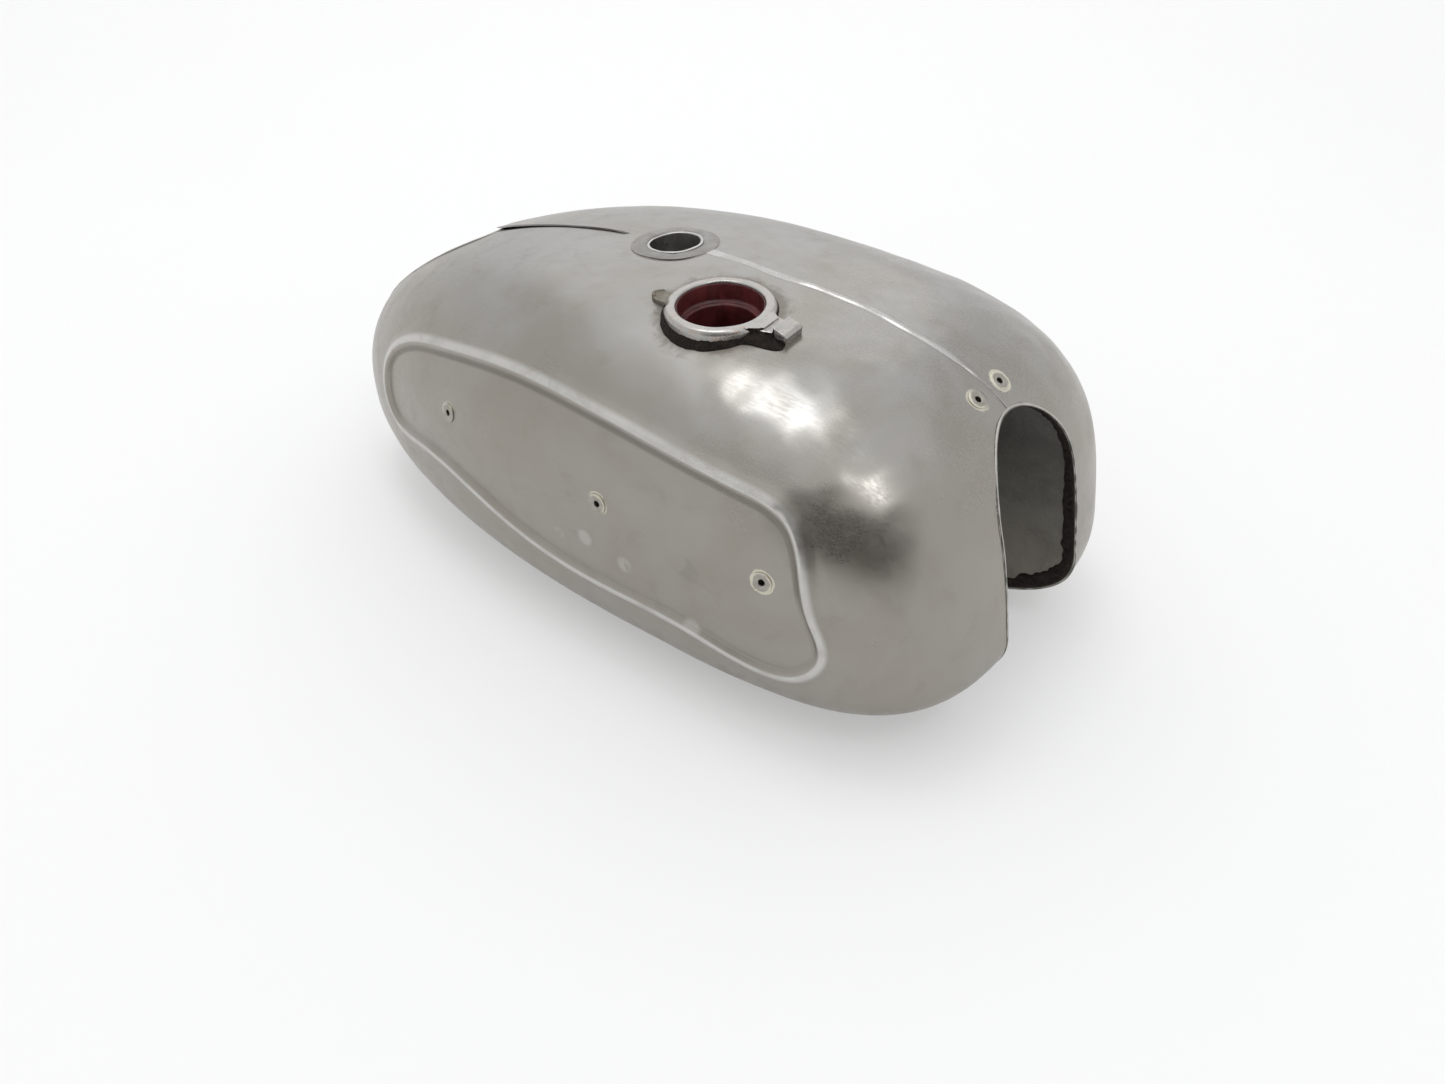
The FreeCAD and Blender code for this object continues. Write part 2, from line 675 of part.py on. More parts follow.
def filler_cup():
    """Liner of the neck, with the seat that the cap's seal presses on."""
    top = FILLER_TOP_Z - FILLER_CUP_TOP_DROP
    seat = FILLER_TOP_Z - FILLER_SEAT_DEPTH
    cup = post(FILLER_BORE_R, FILLER_X, FILLER_Y, FILLER_CUP_BOTTOM_Z, top)
    cup = cup.cut(post(FILLER_CUP_BORE_R, FILLER_X, FILLER_Y, seat, top))
    cup = cup.cut(post(FILLER_SEAT_BORE_R, FILLER_X, FILLER_Y, FILLER_CUP_BOTTOM_Z, seat))
    skirt = post(FILLER_CUP_BORE_R, FILLER_X, FILLER_Y, FILLER_CUP_BOTTOM_Z,
                 seat - FILLER_SEAT_THICKNESS)
    return tilted(cup.cut(skirt))


def filler_braze(body):
    """Braze fillet round the foot of the neck ring, following the skin."""
    band = tube(FILLER_BRAZE_R, FILLER_RING_R, FILLER_X, FILLER_Y, TUNNEL_ROOF_Z, FILLER_TOP_Z)
    return outside(within(tilted(band), body.translated(Z_AXIS * FILLER_BRAZE_HEIGHT)), body)


def hinge_lug(body):
    """Lug for the cap's hinge: a drilled arm from the ring that ends in a thick block."""
    arm_end = FILLER_X + FILLER_RING_R + HINGE_ARM_LENGTH
    half = HINGE_ARM_WIDTH / 2
    arm_low_z = HINGE_ARM_TOP_Z - HINGE_ARM_THICKNESS
    arm = slab((FILLER_X + FILLER_BORE_R, FILLER_Y - half, arm_low_z),
               (arm_end, FILLER_Y + half, HINGE_ARM_TOP_Z))
    pin_z = HINGE_ARM_TOP_Z - HINGE_ARM_THICKNESS / 2
    pin_start = Vector(arm_end - HINGE_PIN_SETBACK, FILLER_Y - half, pin_z)
    pin_hole = Part.makeCylinder(HINGE_PIN_R, HINGE_ARM_WIDTH, pin_start, Y_AXIS)
    half = HINGE_KNUCKLE_WIDTH / 2
    knuckle = slab((arm_end, FILLER_Y - half, HINGE_KNUCKLE_BOTTOM_Z),
                   (arm_end + HINGE_KNUCKLE_LENGTH, FILLER_Y + half, HINGE_KNUCKLE_TOP_Z))
    lug = arm.cut(pin_hole).fuse(knuckle)
    lug = lug.cut(post(FILLER_RING_R, FILLER_X, FILLER_Y, POLE_Z, REACH))
    return outside(tilted(lug.removeSplitter()), body)


def catch_lug(body):
    """Round-ended pad behind the ring, sloping down, that the cap's catch hooks under."""
    start = FILLER_X - FILLER_BORE_R
    tip = FILLER_X - FILLER_RING_R - CATCH_LENGTH
    half = CATCH_WIDTH / 2
    outline = Part.makePolygon([
        Vector(start, FILLER_Y - half, CATCH_FOOT_Z), Vector(tip, FILLER_Y - half, CATCH_FOOT_Z),
        Vector(tip, FILLER_Y - half, CATCH_TIP_Z), Vector(start, FILLER_Y - half, CATCH_TOP_Z),
        Vector(start, FILLER_Y - half, CATCH_FOOT_Z),
    ])
    wedge = Part.Face(outline).extrude(Y_AXIS * CATCH_WIDTH)
    rounded = slab((tip + half, FILLER_Y - half, POLE_Z), (start, FILLER_Y + half, REACH))
    rounded = rounded.fuse(post(half, tip + half, FILLER_Y, POLE_Z, REACH))
    pad = wedge.common(rounded).cut(post(FILLER_RING_R, FILLER_X, FILLER_Y, POLE_Z, REACH))
    pad = pad.removeSplitter().rotated(Vector(FILLER_X, FILLER_Y, 0), Z_AXIS, CATCH_TURN)
    return outside(tilted(pad), body)


def write(name, shape):
    """Write one sub-part, with its volume and number of solids for a quick check."""
    shape.exportStep("parts/" + name + ".step")
    print(name, len(shape.Solids), round(shape.Volume), shape.isValid())


def build():
    """Make every sub-part and write each one to its own file."""
    os.makedirs("parts", exist_ok=True)
    grid = skin_grid()
    body = envelope(grid, 0.0)
    for side, word in ((RIGHT, "right"), (LEFT, "left")):
        write(word + "_half_shell", half_shell(side, grid))
        write(word + "_base_pan", base_pan(side, grid))
        write(word + "_tap_boss", tap_boss(side, grid))
        bosses = [tapped_boss(seat) for seat in badge_boss_seats(side)]
        for place, boss in zip(BADGE_BOSS_NAMES, bosses):
            write(word + "_badge_boss_" + place, boss)
        write(word + "_nose_boss", tapped_boss(nose_boss_seat(side)))
    write("tunnel_channel", tunnel_channel(body))
    write("front_mouth_rim", mouth_rim(body, FRONT))
    write("rear_mouth_rim", mouth_rim(body, REAR))
    write("seam_ridge", seam_ridge())
    write("joint_strip", joint_strip(grid))
    write("centre_sleeve", centre_sleeve(body))
    write("centre_collar", centre_collar(body))
    write("sleeve_ring", sleeve_ring())
    write("filler_neck_ring", filler_ring(body))
    write("filler_neck_cup", filler_cup())
    write("filler_braze", filler_braze(body))
    write("filler_hinge_lug", hinge_lug(body))
    write("filler_catch_lug", catch_lug(body))


build()
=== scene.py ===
"""Looks of a bare-steel motorcycle fuel tank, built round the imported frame.

Metres throughout, in the frame's own axes: +X forwards, +Y the rider's left, +Z up.
The pressed skin follows the same outline as the frame's shells on a finer grid, and is cut
open where the frame's nodes and mounts are.
"""
import json
import math

import bmesh
import bpy
import numpy as np
from mathutils import Matrix, Vector


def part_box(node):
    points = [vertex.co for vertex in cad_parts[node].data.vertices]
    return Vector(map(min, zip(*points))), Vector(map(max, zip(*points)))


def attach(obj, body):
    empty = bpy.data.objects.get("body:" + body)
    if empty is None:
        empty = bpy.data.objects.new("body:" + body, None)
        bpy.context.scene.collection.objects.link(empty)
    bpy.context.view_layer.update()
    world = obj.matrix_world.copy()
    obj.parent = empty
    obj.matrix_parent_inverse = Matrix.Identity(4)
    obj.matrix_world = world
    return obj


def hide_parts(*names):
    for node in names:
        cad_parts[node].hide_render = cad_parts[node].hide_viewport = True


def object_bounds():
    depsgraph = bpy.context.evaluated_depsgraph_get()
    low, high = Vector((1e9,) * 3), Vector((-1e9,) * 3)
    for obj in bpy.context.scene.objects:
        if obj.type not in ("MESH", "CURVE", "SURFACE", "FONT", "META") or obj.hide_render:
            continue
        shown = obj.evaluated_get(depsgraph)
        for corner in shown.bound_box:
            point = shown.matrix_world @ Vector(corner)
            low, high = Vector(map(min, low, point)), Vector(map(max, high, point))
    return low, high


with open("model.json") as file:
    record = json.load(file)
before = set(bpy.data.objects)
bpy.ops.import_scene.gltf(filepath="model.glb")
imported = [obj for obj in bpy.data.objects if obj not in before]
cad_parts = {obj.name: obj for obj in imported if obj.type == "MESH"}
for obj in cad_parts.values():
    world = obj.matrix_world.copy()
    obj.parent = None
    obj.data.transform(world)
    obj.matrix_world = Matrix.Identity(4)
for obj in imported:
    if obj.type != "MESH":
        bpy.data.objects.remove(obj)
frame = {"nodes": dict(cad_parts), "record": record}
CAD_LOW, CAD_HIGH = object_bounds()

RIGHT = -1
LEFT = 1
REAR = -1
FRONT = 1

# Outline of the body: half width, top and bottom at its widest station and at its two ends.
TAIL_X = -0.286
NOSE_X = 0.278
WIDEST_X = 0.054
HALF_WIDTH = 0.1539
TAIL_HALF_WIDTH = 0.125
CROWN_Z = 0.2215
NOSE_CROWN_Z = 0.2063
TAIL_CROWN_Z = 0.1652
TAIL_BASE_Z = 0.0285
POLE_Z = 0.0707
WAIST_Z = 0.0998
TAIL_WAIST_Z = 0.0668
PLAN_POWER_FRONT = 4.1
PLAN_POWER_REAR = 2.83
CROWN_POWER_FRONT = 4.58
CROWN_POWER_REAR = 3.36
BASE_POWER = 2.37
WAIST_POWER = 3.0
SHOULDER_POWER = 2.75
TAIL_SHOULDER_POWER = 2.11
SILL_POWER = 3.9
NOSE_RAKE = 0.18

# Raised rib round each side panel, as the points of its centreline in (X, Z).
RIB_POINTS = [
    (-0.1636, 0.1432), (-0.1086, 0.1640), (-0.0236, 0.1778), (0.0764, 0.1755),
    (0.1464, 0.1697), (0.1814, 0.1590), (0.1928, 0.1385), (0.2014, 0.1100),
    (0.2094, 0.0840), (0.2004, 0.0685), (0.1314, 0.0645), (0.0364, 0.0655),
    (-0.0386, 0.0760), (-0.1286, 0.0875), (-0.1796, 0.0910), (-0.1846, 0.1180),
]
RIB_SAMPLES = 320
RIB_OUTER_FLANK = 0.0090
RIB_INNER_FLANK = 0.0046
RIB_HEIGHT = 0.0020
PANEL_RECESS = 0.0013
RIB_TOP_ENDS = (-0.166, 0.186)
RIB_FOOT_ENDS = (-0.176, 0.196)
RIB_ZONE = 0.009
RIB_MIDDLE_Z = 0.118

# Sheet, tunnel, seam and pans.
SHEET = 0.0012
TUNNEL_SHEET = 0.0015
SKIN_INSET = 0.0005
TUNNEL_HALF_WIDTH = 0.047
TUNNEL_ROOF_Z = 0.1833
PAN_SETBACK = 0.026
PAN_CUT_TOP_Z = 0.066
RAIL_FOOT = ((-0.140, 0.020), (-0.100, 0.0), (0.146, 0.0), (0.180, 0.010))
JOINT_START_X = -0.0496
JOINT_HALF_GAP = 0.0012
JOINT_ROLL = 0.0011
JOINT_STAND = 0.0006
TAIL_STAND = 0.0036
MOUTH_EDGE_R = 0.0008
WELD_SINK = 0.0004
SEAT_SINK = 0.0006
REACH = 0.4
TIP = 0.0001

# Holes and bosses.
SLEEVE_R = 0.0185
SLEEVE_BORE_R = 0.0165
FILLER_BORE_R = 0.0265
BOSS_R = 0.0065
BOSS_LENGTH = 0.009
BORE_R = 0.0021
RING_R = 0.0334
CUP_BORE_R = 0.0253
SEAT_BORE_R = 0.0218
NECK_BORE_DEPTH = 0.015
HINGE_REACH = 0.0430
HINGE_BLOCK = 0.0098
HINGE_WIDTH = 0.0160
CATCH_REACH = 0.0135
CATCH_WIDTH = 0.0150
CATCH_TURN = 0.175
COLLAR_R = 0.0275
HINGE_PIN_R = 0.0016
HINGE_PIN_SETBACK = 0.0024
LUG_VOXEL = 0.00045

# Cream rings round the holes that are faint or worn: how strong, and the side that is left.
HALOS = {
    "right_badge_hole_rear": (0.55, (-0.6, 0.0, 0.8)),
    "right_badge_hole_middle": (0.85, (0.6, 0.0, 0.8)),
    "right_nose_hole": (0.90, (-0.3, -0.8, -0.5)),
}

# Rubbed or grimy marks on the right side: where, how far they reach and how bright they are.
RUBS = (
    ((0.0413, -0.1539, 0.0945), 0.0075, 0.62), ((0.0178, -0.1535, 0.0871), 0.0065, 0.55),
    ((0.0735, -0.1539, 0.0890), 0.0075, 0.58), ((0.1215, -0.1535, 0.1091), 0.0110, 0.20),
    ((0.1249, -0.1530, 0.0673), 0.0080, 0.60), ((-0.0858, -0.1412, 0.0478), 0.0028, 0.04),
)

# Steel finish: darkest and lightest base, smoothest and roughest polish.
STEEL_LOW = 0.285
STEEL_HIGH = 0.345
ROUGH_LOW = 0.30
ROUGH_HIGH = 0.40


def middle(node):
    """Middle of a CAD node's box."""
    low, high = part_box(node)
    return (low + high) / 2


# Places read from the frame.
SLEEVE_X = middle("centre_sleeve").x
MOUNTS = {mount["name"]: mount for mount in frame["record"]["mounts"]}
NECK_AXIS = Vector(MOUNTS["filler_neck_bore"]["axis"]).normalized()
FILLER = Vector(MOUNTS["filler_neck_bore"]["pos_m"]) + NECK_AXIS * (NECK_BORE_DEPTH / 2)


# ---------------------------------------------------------------- outline of the body

def ease(t):
    """Smooth step from 0 to 1."""
    t = np.clip(t, 0.0, 1.0)
    return t * t * (3.0 - 2.0 * t)


def share(x, start, end):
    """How far x lies from start towards end, from 0 to 1."""
    return np.clip((x - start) / (end - start), 0.0, 1.0)


def taper(x, power_front, power_rear):
    """Superellipse factor: 1 at the widest station and 0 at the nose and the tail."""
    ahead = (1.0 - share(x, WIDEST_X, NOSE_X) ** power_front) ** (1.0 / power_front)
    behind = (1.0 - share(x, WIDEST_X, TAIL_X) ** power_rear) ** (1.0 / power_rear)
    return ahead * behind


def section(x):
    """Half width, top, bottom, height of the widest line and top power at stations x."""
    x = np.clip(x, TAIL_X + TIP, NOSE_X - TIP)
    to_tail = share(x, WIDEST_X, TAIL_X) ** 2
    to_nose = share(x, WIDEST_X, NOSE_X) ** 2
    half_width = HALF_WIDTH + (TAIL_HALF_WIDTH - HALF_WIDTH) * to_tail
    half_width = half_width * taper(x, PLAN_POWER_FRONT, PLAN_POWER_REAR)
    crown = CROWN_Z + (NOSE_CROWN_Z - CROWN_Z) * to_nose + (TAIL_CROWN_Z - CROWN_Z) * to_tail
    top = POLE_Z + (crown - POLE_Z) * taper(x, CROWN_POWER_FRONT, CROWN_POWER_REAR)
    bottom = POLE_Z - (POLE_Z - TAIL_BASE_Z * to_tail) * taper(x, BASE_POWER, BASE_POWER)
    waist = WAIST_Z + (TAIL_WAIST_Z - WAIST_Z) * to_tail
    waist = POLE_Z + (waist - POLE_Z) * taper(x, WAIST_POWER, WAIST_POWER)
    power = SHOULDER_POWER + (TAIL_SHOULDER_POWER - SHOULDER_POWER) * to_tail
    return half_width, top, bottom, waist, power


def rake(station, z):
    """How far back the skin leans at a station and height z."""
    return NOSE_RAKE * (z - POLE_Z) * ease(share(station, SLEEVE_X, NOSE_X))


def station_at(x, z):
    """The station whose raked skin passes through forward position x at height z."""
    station = x
    for _ in range(12):
        station = x + rake(station, z)
    return station


def crown_z(x, y):
    """Height of the upper skin at forward position x and distance y from the centre plane."""
    z = np.full(np.broadcast(x, y).shape, CROWN_Z)
    for _ in range(12):
        half_width, top, bottom, waist, power = section(station_at(x, z))
        out = np.clip(np.abs(y) / half_width, 0.0, 1.0)
        z = waist + (top - waist) * (1.0 - out ** power) ** (1.0 / power)
    return z


def inside_body(x, y, z):
    """True where a point lies inside the body's skin."""
    station = station_at(x, z)
    half_width, top, bottom, waist, power = section(station)
    reach = np.where(z > waist, top - waist, waist - bottom)
    power = np.where(z > waist, power, SILL_POWER)
    level = (np.abs(y) / half_width) ** power + (np.abs(z - waist) / reach) ** power
    return (level < 1.0) & (station > TAIL_X) & (station < NOSE_X)


def closed_curve(points, count):
    """Smooth closed curve through points, as count points evenly spaced in its parameter."""
    points = np.array(points)
    steps = np.linalg.norm(np.roll(points, -1, 0) - points, axis=1)
    n = len(points)
    system = np.zeros((n, n))
    for k in range(n):
        before, after = steps[k - 1], steps[k]
        system[k, k - 1] = before
        system[k, k] = 2.0 * (before + after)
        system[k, (k + 1) % n] = after
    slopes = (np.roll(points, -1, 0) - points) / steps[:, None]
    bends = np.linalg.solve(system, 6.0 * (slopes - np.roll(slopes, 1, 0)))
    knots = np.concatenate([[0.0], np.cumsum(steps)])
    t = np.linspace(0.0, knots[-1], count, endpoint=False)
    k = np.clip(np.searchsorted(knots, t, side="right") - 1, 0, n - 1)
    after = (k + 1) % n
    step, along = steps[k][:, None], (t - knots[k])[:, None]
    rest = step - along
    curve = bends[k] * rest ** 3 / (6 * step) + bends[after] * along ** 3 / (6 * step)
    curve += (points[k] / step - bends[k] * step / 6) * rest
    curve += (points[after] / step - bends[after] * step / 6) * along
    return curve


def unit(vectors):
    """Vectors at length 1."""
    return vectors / np.linalg.norm(vectors, axis=-1)[..., None]


def travelled(points):
    """Distance travelled along a line, at each of its points."""
    return np.concatenate([[0.0], np.cumsum(np.linalg.norm(np.diff(points, axis=0), axis=1))])


def signed_distance(x, z, outline):
    """Distance of points from the outline, negative inside it."""
    nearest = np.full(x.shape, REACH)
    inside = np.zeros(x.shape, bool)
    for a, b in zip(outline, np.roll(outline, -1, 0)):
        along = b - a
        t = ((x - a[0]) * along[0] + (z - a[1]) * along[1]) / (along @ along)
        t = np.clip(t, 0.0, 1.0)
        nearest = np.minimum(nearest, np.hypot(x - a[0] - t * along[0], z - a[1] - t * along[1]))
        crosses = (a[1] > z) != (b[1] > z)
        if crosses.any():
            inside ^= crosses & (x < a[0] + along[0] * (z - a[1]) / along[1])
    return np.where(inside, -nearest, nearest)


def waves(points, size, seed, count=24):
    """Smooth uneven field between about -1 and 1, with features of a size."""
    rng = np.random.default_rng(seed)
    directions = unit(rng.normal(size=(count, 3)))
    pitches = rng.uniform(0.6, 1.6, count) * 2.0 * math.pi / size
    phases = rng.uniform(0.0, 2.0 * math.pi, count)
    total = np.zeros(points.shape[:-1])
    for direction, pitch, phase in zip(directions, pitches, phases):
        total += np.sin(points @ direction * pitch + phase)
    return total / math.sqrt(count)


# ---------------------------------------------------------------- mesh tools

def linked(name, data):
    """New object in the scene that holds the data."""
    piece = bpy.data.objects.new(name, data)
    bpy.context.scene.collection.objects.link(piece)
    return piece


def new_piece(name, points, faces, materials, sharp_deg=35.0):
    """Mesh object with smooth shading that breaks at sharp edges."""
    mesh = bpy.data.meshes.new(name)
    mesh.from_pydata(np.asarray(points, float).reshape(-1, 3).tolist(), [], faces)
    piece = linked(name, mesh)
    for material in materials:
        mesh.materials.append(material)
    face_outwards(piece)
    finish_shading(piece, sharp_deg)
    return piece


def face_outwards(piece):
    """Turn a closed piece's faces outwards."""
    work = bmesh.new()
    work.from_mesh(piece.data)
    bmesh.ops.recalc_face_normals(work, faces=work.faces)
    work.to_mesh(piece.data)
    work.free()


def finish_shading(piece, sharp_deg=35.0):
    """Smooth faces, with sharp edges where they meet at more than an angle."""
    mesh = piece.data
    mesh.shade_smooth()
    mesh.set_sharp_from_angle(angle=math.radians(sharp_deg))


def grid_faces(rows, columns, start=0, flip=False, wrap_rows=False, wrap_columns=False):
    """Quads over a grid of points numbered row by row from start."""
    faces = []
    for i in range(rows if wrap_rows else rows - 1):
        below = (i + 1) % rows
        for j in range(columns if wrap_columns else columns - 1):
            beside = (j + 1) % columns
            quad = (start + i * columns + j, start + below * columns + j,
                    start + below * columns + beside, start + i * columns + beside)
            faces.append(quad[::-1] if flip else quad)
    return faces


def slab_faces(rows, columns, flip):
    """Faces of a closed sheet: a front grid, a back grid numbered after it, and four edges."""
    back = rows * columns
    faces = grid_faces(rows, columns, 0, flip)
    faces += grid_faces(rows, columns, back, not flip)
    top = list(range(columns))
    right = [i * columns + columns - 1 for i in range(1, rows)]
    foot = [(rows - 1) * columns + j for j in range(columns - 2, -1, -1)]
    left = [i * columns for i in range(rows - 2, 0, -1)]
    rim = top + right + foot + left
    for a, b in zip(rim, rim[1:] + rim[:1]):
        quad = (a, b, b + back, a + back)
        faces.append(quad[::-1] if flip else quad)
    return faces


def ring_faces(turns, steps, flip):
    """Faces of a closed ring: an upper grid, a lower grid numbered after it, and two edges."""
    back = turns * steps
    faces = grid_faces(turns, steps, 0, flip, wrap_rows=True)
    faces += grid_faces(turns, steps, back, wrap_rows=True)
    for k in range(turns):
        a, b = k * steps, (k + 1) % turns * steps
        quad = (a, b, b + back, a + back)
        faces.append(quad[::-1] if flip else quad)
        a, b = a + steps - 1, b + steps - 1
        faces.append((a, b, b + back, a + back))
    return faces


def stacked(top, foot):
    """Points of an upper grid, then those of a lower one."""
    return np.concatenate([top.reshape(-1, 3), foot.reshape(-1, 3)])


def settle(piece):
    """Apply a piece's modifiers."""
    graph = bpy.context.evaluated_depsgraph_get()
    mesh = bpy.data.meshes.new_from_object(piece.evaluated_get(graph))
    piece.modifiers.clear()
    piece.data = mesh


def carve(piece, tools):
    """Cut a piece with closed tools, and remove the tools."""
    for tool in tools:
        change = piece.modifiers.new("carve", "BOOLEAN")
        change.object = tool
        change.operation = "DIFFERENCE"
        change.solver = "MANIFOLD"
    settle(piece)
    for tool in tools:
        bpy.data.objects.remove(tool)
    finish_shading(piece)
    return piece


def mesh_points(piece):
    """A piece's points as an array."""
    points = np.empty(len(piece.data.vertices) * 3)
    piece.data.vertices.foreach_get("co", points)
    return points.reshape(-1, 3)


def place(piece, points):
    """Give a piece's points new places."""
    piece.data.vertices.foreach_set("co", np.asarray(points, np.float64).ravel())
    piece.data.update()


def prism(name, outline, axis, low, high):
    """Closed prism: an outline in the two axes after the given one, from low to high."""
    n = len(outline)
    points = []
    for level in (low, high):
        for a, b in outline:
            point = [0.0, 0.0, 0.0]
            point[axis] = level
            point[(axis + 1) % 3] = a
            point[(axis + 2) % 3] = b
            points.append(point)
    turn = sum(a * q[1] - q[0] * b for (a, b), q in zip(outline, outline[1:] + outline[:1]))
    faces = [tuple(range(n))[::-1], tuple(range(n, 2 * n))]
    faces += [(k, (k + 1) % n, n + (k + 1) % n, n + k) for k in range(n)]
    if turn < 0:
        faces = [face[::-1] for face in faces]
    return new_piece(name, points, faces, [])


def circle(radius, count, x=0.0, y=0.0):
    """Points round a circle."""
    turns = np.linspace(0.0, 2.0 * math.pi, count, endpoint=False)
    return [(x + radius * math.cos(t), y + radius * math.sin(t)) for t in turns]


def post(radius, x, y, low, high, count=160):
    """Upright cylinder used as a cutter."""
    return prism("post", circle(radius, count, x, y), 2, low, high)


def on_axis(points, centre, axis):
    """Points given along +Z from the origin, moved to a centre and turned to an axis."""
    turn = Vector((0, 0, 1)).rotation_difference(Vector(axis)).to_matrix()
    return np.asarray(points) @ np.array(turn).T + np.array(centre)


def rod(name, points):
    """Closed cylinder from pairs of points, one at each end."""
    count = len(points) // 2
    faces = [(2 * k, 2 * k + 1, (2 * k + 3) % (2 * count), (2 * k + 2) % (2 * count)) for k in range(count)]
    faces += [tuple(range(2 * count - 2, -1, -2)), tuple(range(1, 2 * count, 2))]
    return new_piece(name, points, faces, [])


def leaned(piece):
    """Turn an upright piece about the top of the filler neck, to the neck's own axis."""
    points = on_axis(mesh_points(piece) - np.array(FILLER), FILLER, NECK_AXIS)
    place(piece, points)
    return piece


def lathe_points(profile, count):
    """Points of a profile (radius, height) turned round Z."""
    turns = np.linspace(0.0, 2.0 * math.pi, count, endpoint=False)
    rows = [[(r * math.cos(t), r * math.sin(t), z) for r, z in profile] for t in turns]
    return np.array(rows)


def lathe(name, profile, count, materials, centre=(0, 0, 0), axis=(0, 0, 1), sharp_deg=35.0):
    """Closed ring: a closed profile of (radius, height), clockwise, turned round an axis."""
    rows = lathe_points(profile, count)
    points = on_axis(rows.reshape(-1, 3), centre, axis)
    faces = grid_faces(count, len(profile), wrap_rows=True, wrap_columns=True)
    return new_piece(name, points, faces, materials, sharp_deg)


def rounded(corners, radius, count=4):
    """A closed profile with each corner (r, z) turned into a small arc."""
    corners = [np.array(c, float) for c in corners]
    rounded_points = []
    for k, corner in enumerate(corners):
        back = corners[k - 1] - corner
        ahead = corners[(k + 1) % len(corners)] - corner
        reach = min(radius, np.linalg.norm(back) / 3, np.linalg.norm(ahead) / 3)
        start = corner + back / np.linalg.norm(back) * reach
        stop = corner + ahead / np.linalg.norm(ahead) * reach
        for t in np.linspace(0.0, 1.0, count):
            rounded_points.append(tuple((1 - t) ** 2 * start + 2 * t * (1 - t) * corner + t * t * stop))
    return rounded_points


def stands_for(piece, node):
    """The piece rides on the tank and replaces its CAD node."""
    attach(piece, "root")
    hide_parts(node)
    return piece


# ---------------------------------------------------------------- skin

def spread(knots, counts):
    """Values from knot to knot, each span divided into its own count."""
    values = [np.linspace(a, b, n, endpoint=False) for a, b, n in zip(knots, knots[1:], counts)]
    return np.concatenate(values + [[knots[-1]]])


def section_run(power, half_width, rise, fall):
    """Angles round a half section from the top, with the length run and the height at each."""
    turns = np.linspace(0.0, math.pi, 1601)
    y, z = section_point(turns, power, half_width, rise, fall)
    lengths = np.concatenate([[0.0], np.cumsum(np.hypot(np.diff(y), np.diff(z)))])
    return turns, lengths, z


def section_point(turns, power, half_width, rise, fall):
    """Half section: distance from the centre plane and height from the waist at angles."""
    upper = turns <= math.pi / 2
    n = np.where(upper, power, SILL_POWER)
    y = half_width * np.abs(np.sin(turns)) ** (2.0 / n)
    z = np.where(upper, rise, -fall) * np.abs(np.cos(turns)) ** (2.0 / n)
    return y, z


def half_grid():
    """Points, outward normals and distance to the rib of the positive-Y half."""
    outline = closed_curve(RIB_POINTS, RIB_SAMPLES)
    high, low = outline[:, 1] > RIB_MIDDLE_Z, outline[:, 1] <= RIB_MIDDLE_Z
    order = np.argsort(outline[high][:, 0])
    rib_top = outline[high][order]
    order = np.argsort(outline[low][:, 0])
    rib_foot = outline[low][order]
    stations = spread(
        (TAIL_X + 0.001, TAIL_X + 0.015, -0.263, -0.194, -0.154, 0.172, 0.219, 0.252,
         NOSE_X - 0.012, NOSE_X - 0.0035, NOSE_X - TIP),
        (10, 5, 24, 34, 110, 42, 14, 9, 8, 12))
    rows = []
    for x in stations:
        half_width, top, bottom, waist, power = section(x)
        rise, fall = top - waist, waist - bottom
        turns, lengths, z = section_run(power, half_width, rise, fall)
        length = lengths[-1]
        side_z = [np.interp(np.clip(x, *ends), run[:, 0], run[:, 1])
                  for ends, run in ((RIB_TOP_ENDS, rib_top), (RIB_FOOT_ENDS, rib_foot))]
        side_z = [np.clip(h, bottom + 0.02 * fall, top - 0.02 * rise) for h in side_z]
        reach = [np.interp(waist - h, -z, lengths) for h in side_z]
        zone = min(RIB_ZONE, (reach[1] - reach[0]) / 4)
        knots = (0.0, 0.04 * length, reach[0] - zone, reach[0] + zone, reach[1] - zone,
                 reach[1] + zone, length)
        targets = spread(knots, (14, 52, 18, 34, 18, 50))
        turn = np.interp(targets, lengths, turns)
        y, height = section_point(turn, power, half_width, rise, fall)
        z = waist + height
        rows.append(np.stack([x - rake(x, z), y, z], 1))
    points = np.array(rows)
    points[:, 0, 1] = 0.0
    points[:, -1, 1] = 0.0
    normals = np.cross(np.gradient(points, axis=0), np.gradient(points, axis=1))
    normals[:, (0, -1), 1] = 0.0
    normals = unit(normals)
    distance = signed_distance(points[..., 0], points[..., 2], outline)
    return points, normals, distance


def pressing(points, distance):
    """How far the press pushes the skin out: a rib round the panel, steep on its inner side."""
    outside = RIB_HEIGHT * (1.0 - ease(distance / RIB_OUTER_FLANK))
    inside = RIB_HEIGHT - (RIB_HEIGHT + PANEL_RECESS) * ease(-distance / RIB_INNER_FLANK)
    height = np.where(distance > 0.0, outside, inside)
    return np.where(points[..., 1] > TUNNEL_HALF_WIDTH, height, 0.0)


def hand_work(points, side):
    """Slight waviness that hammering and sanding leave, on a skin set just inside the CAD one."""
    seed = 3 if side == RIGHT else 5
    fade = ease(points[..., 1] / 0.02)
    shoulder = ease(share(points[..., 0], 0.06, 0.13)) * ease(share(points[..., 2], 0.13, 0.17))
    broad = waves(points, 0.085, seed) * 0.00016
    close = waves(points, 0.026, seed + 10) * (0.00004 + 0.00013 * shoulder)
    return (broad + close - SKIN_INSET) * fade


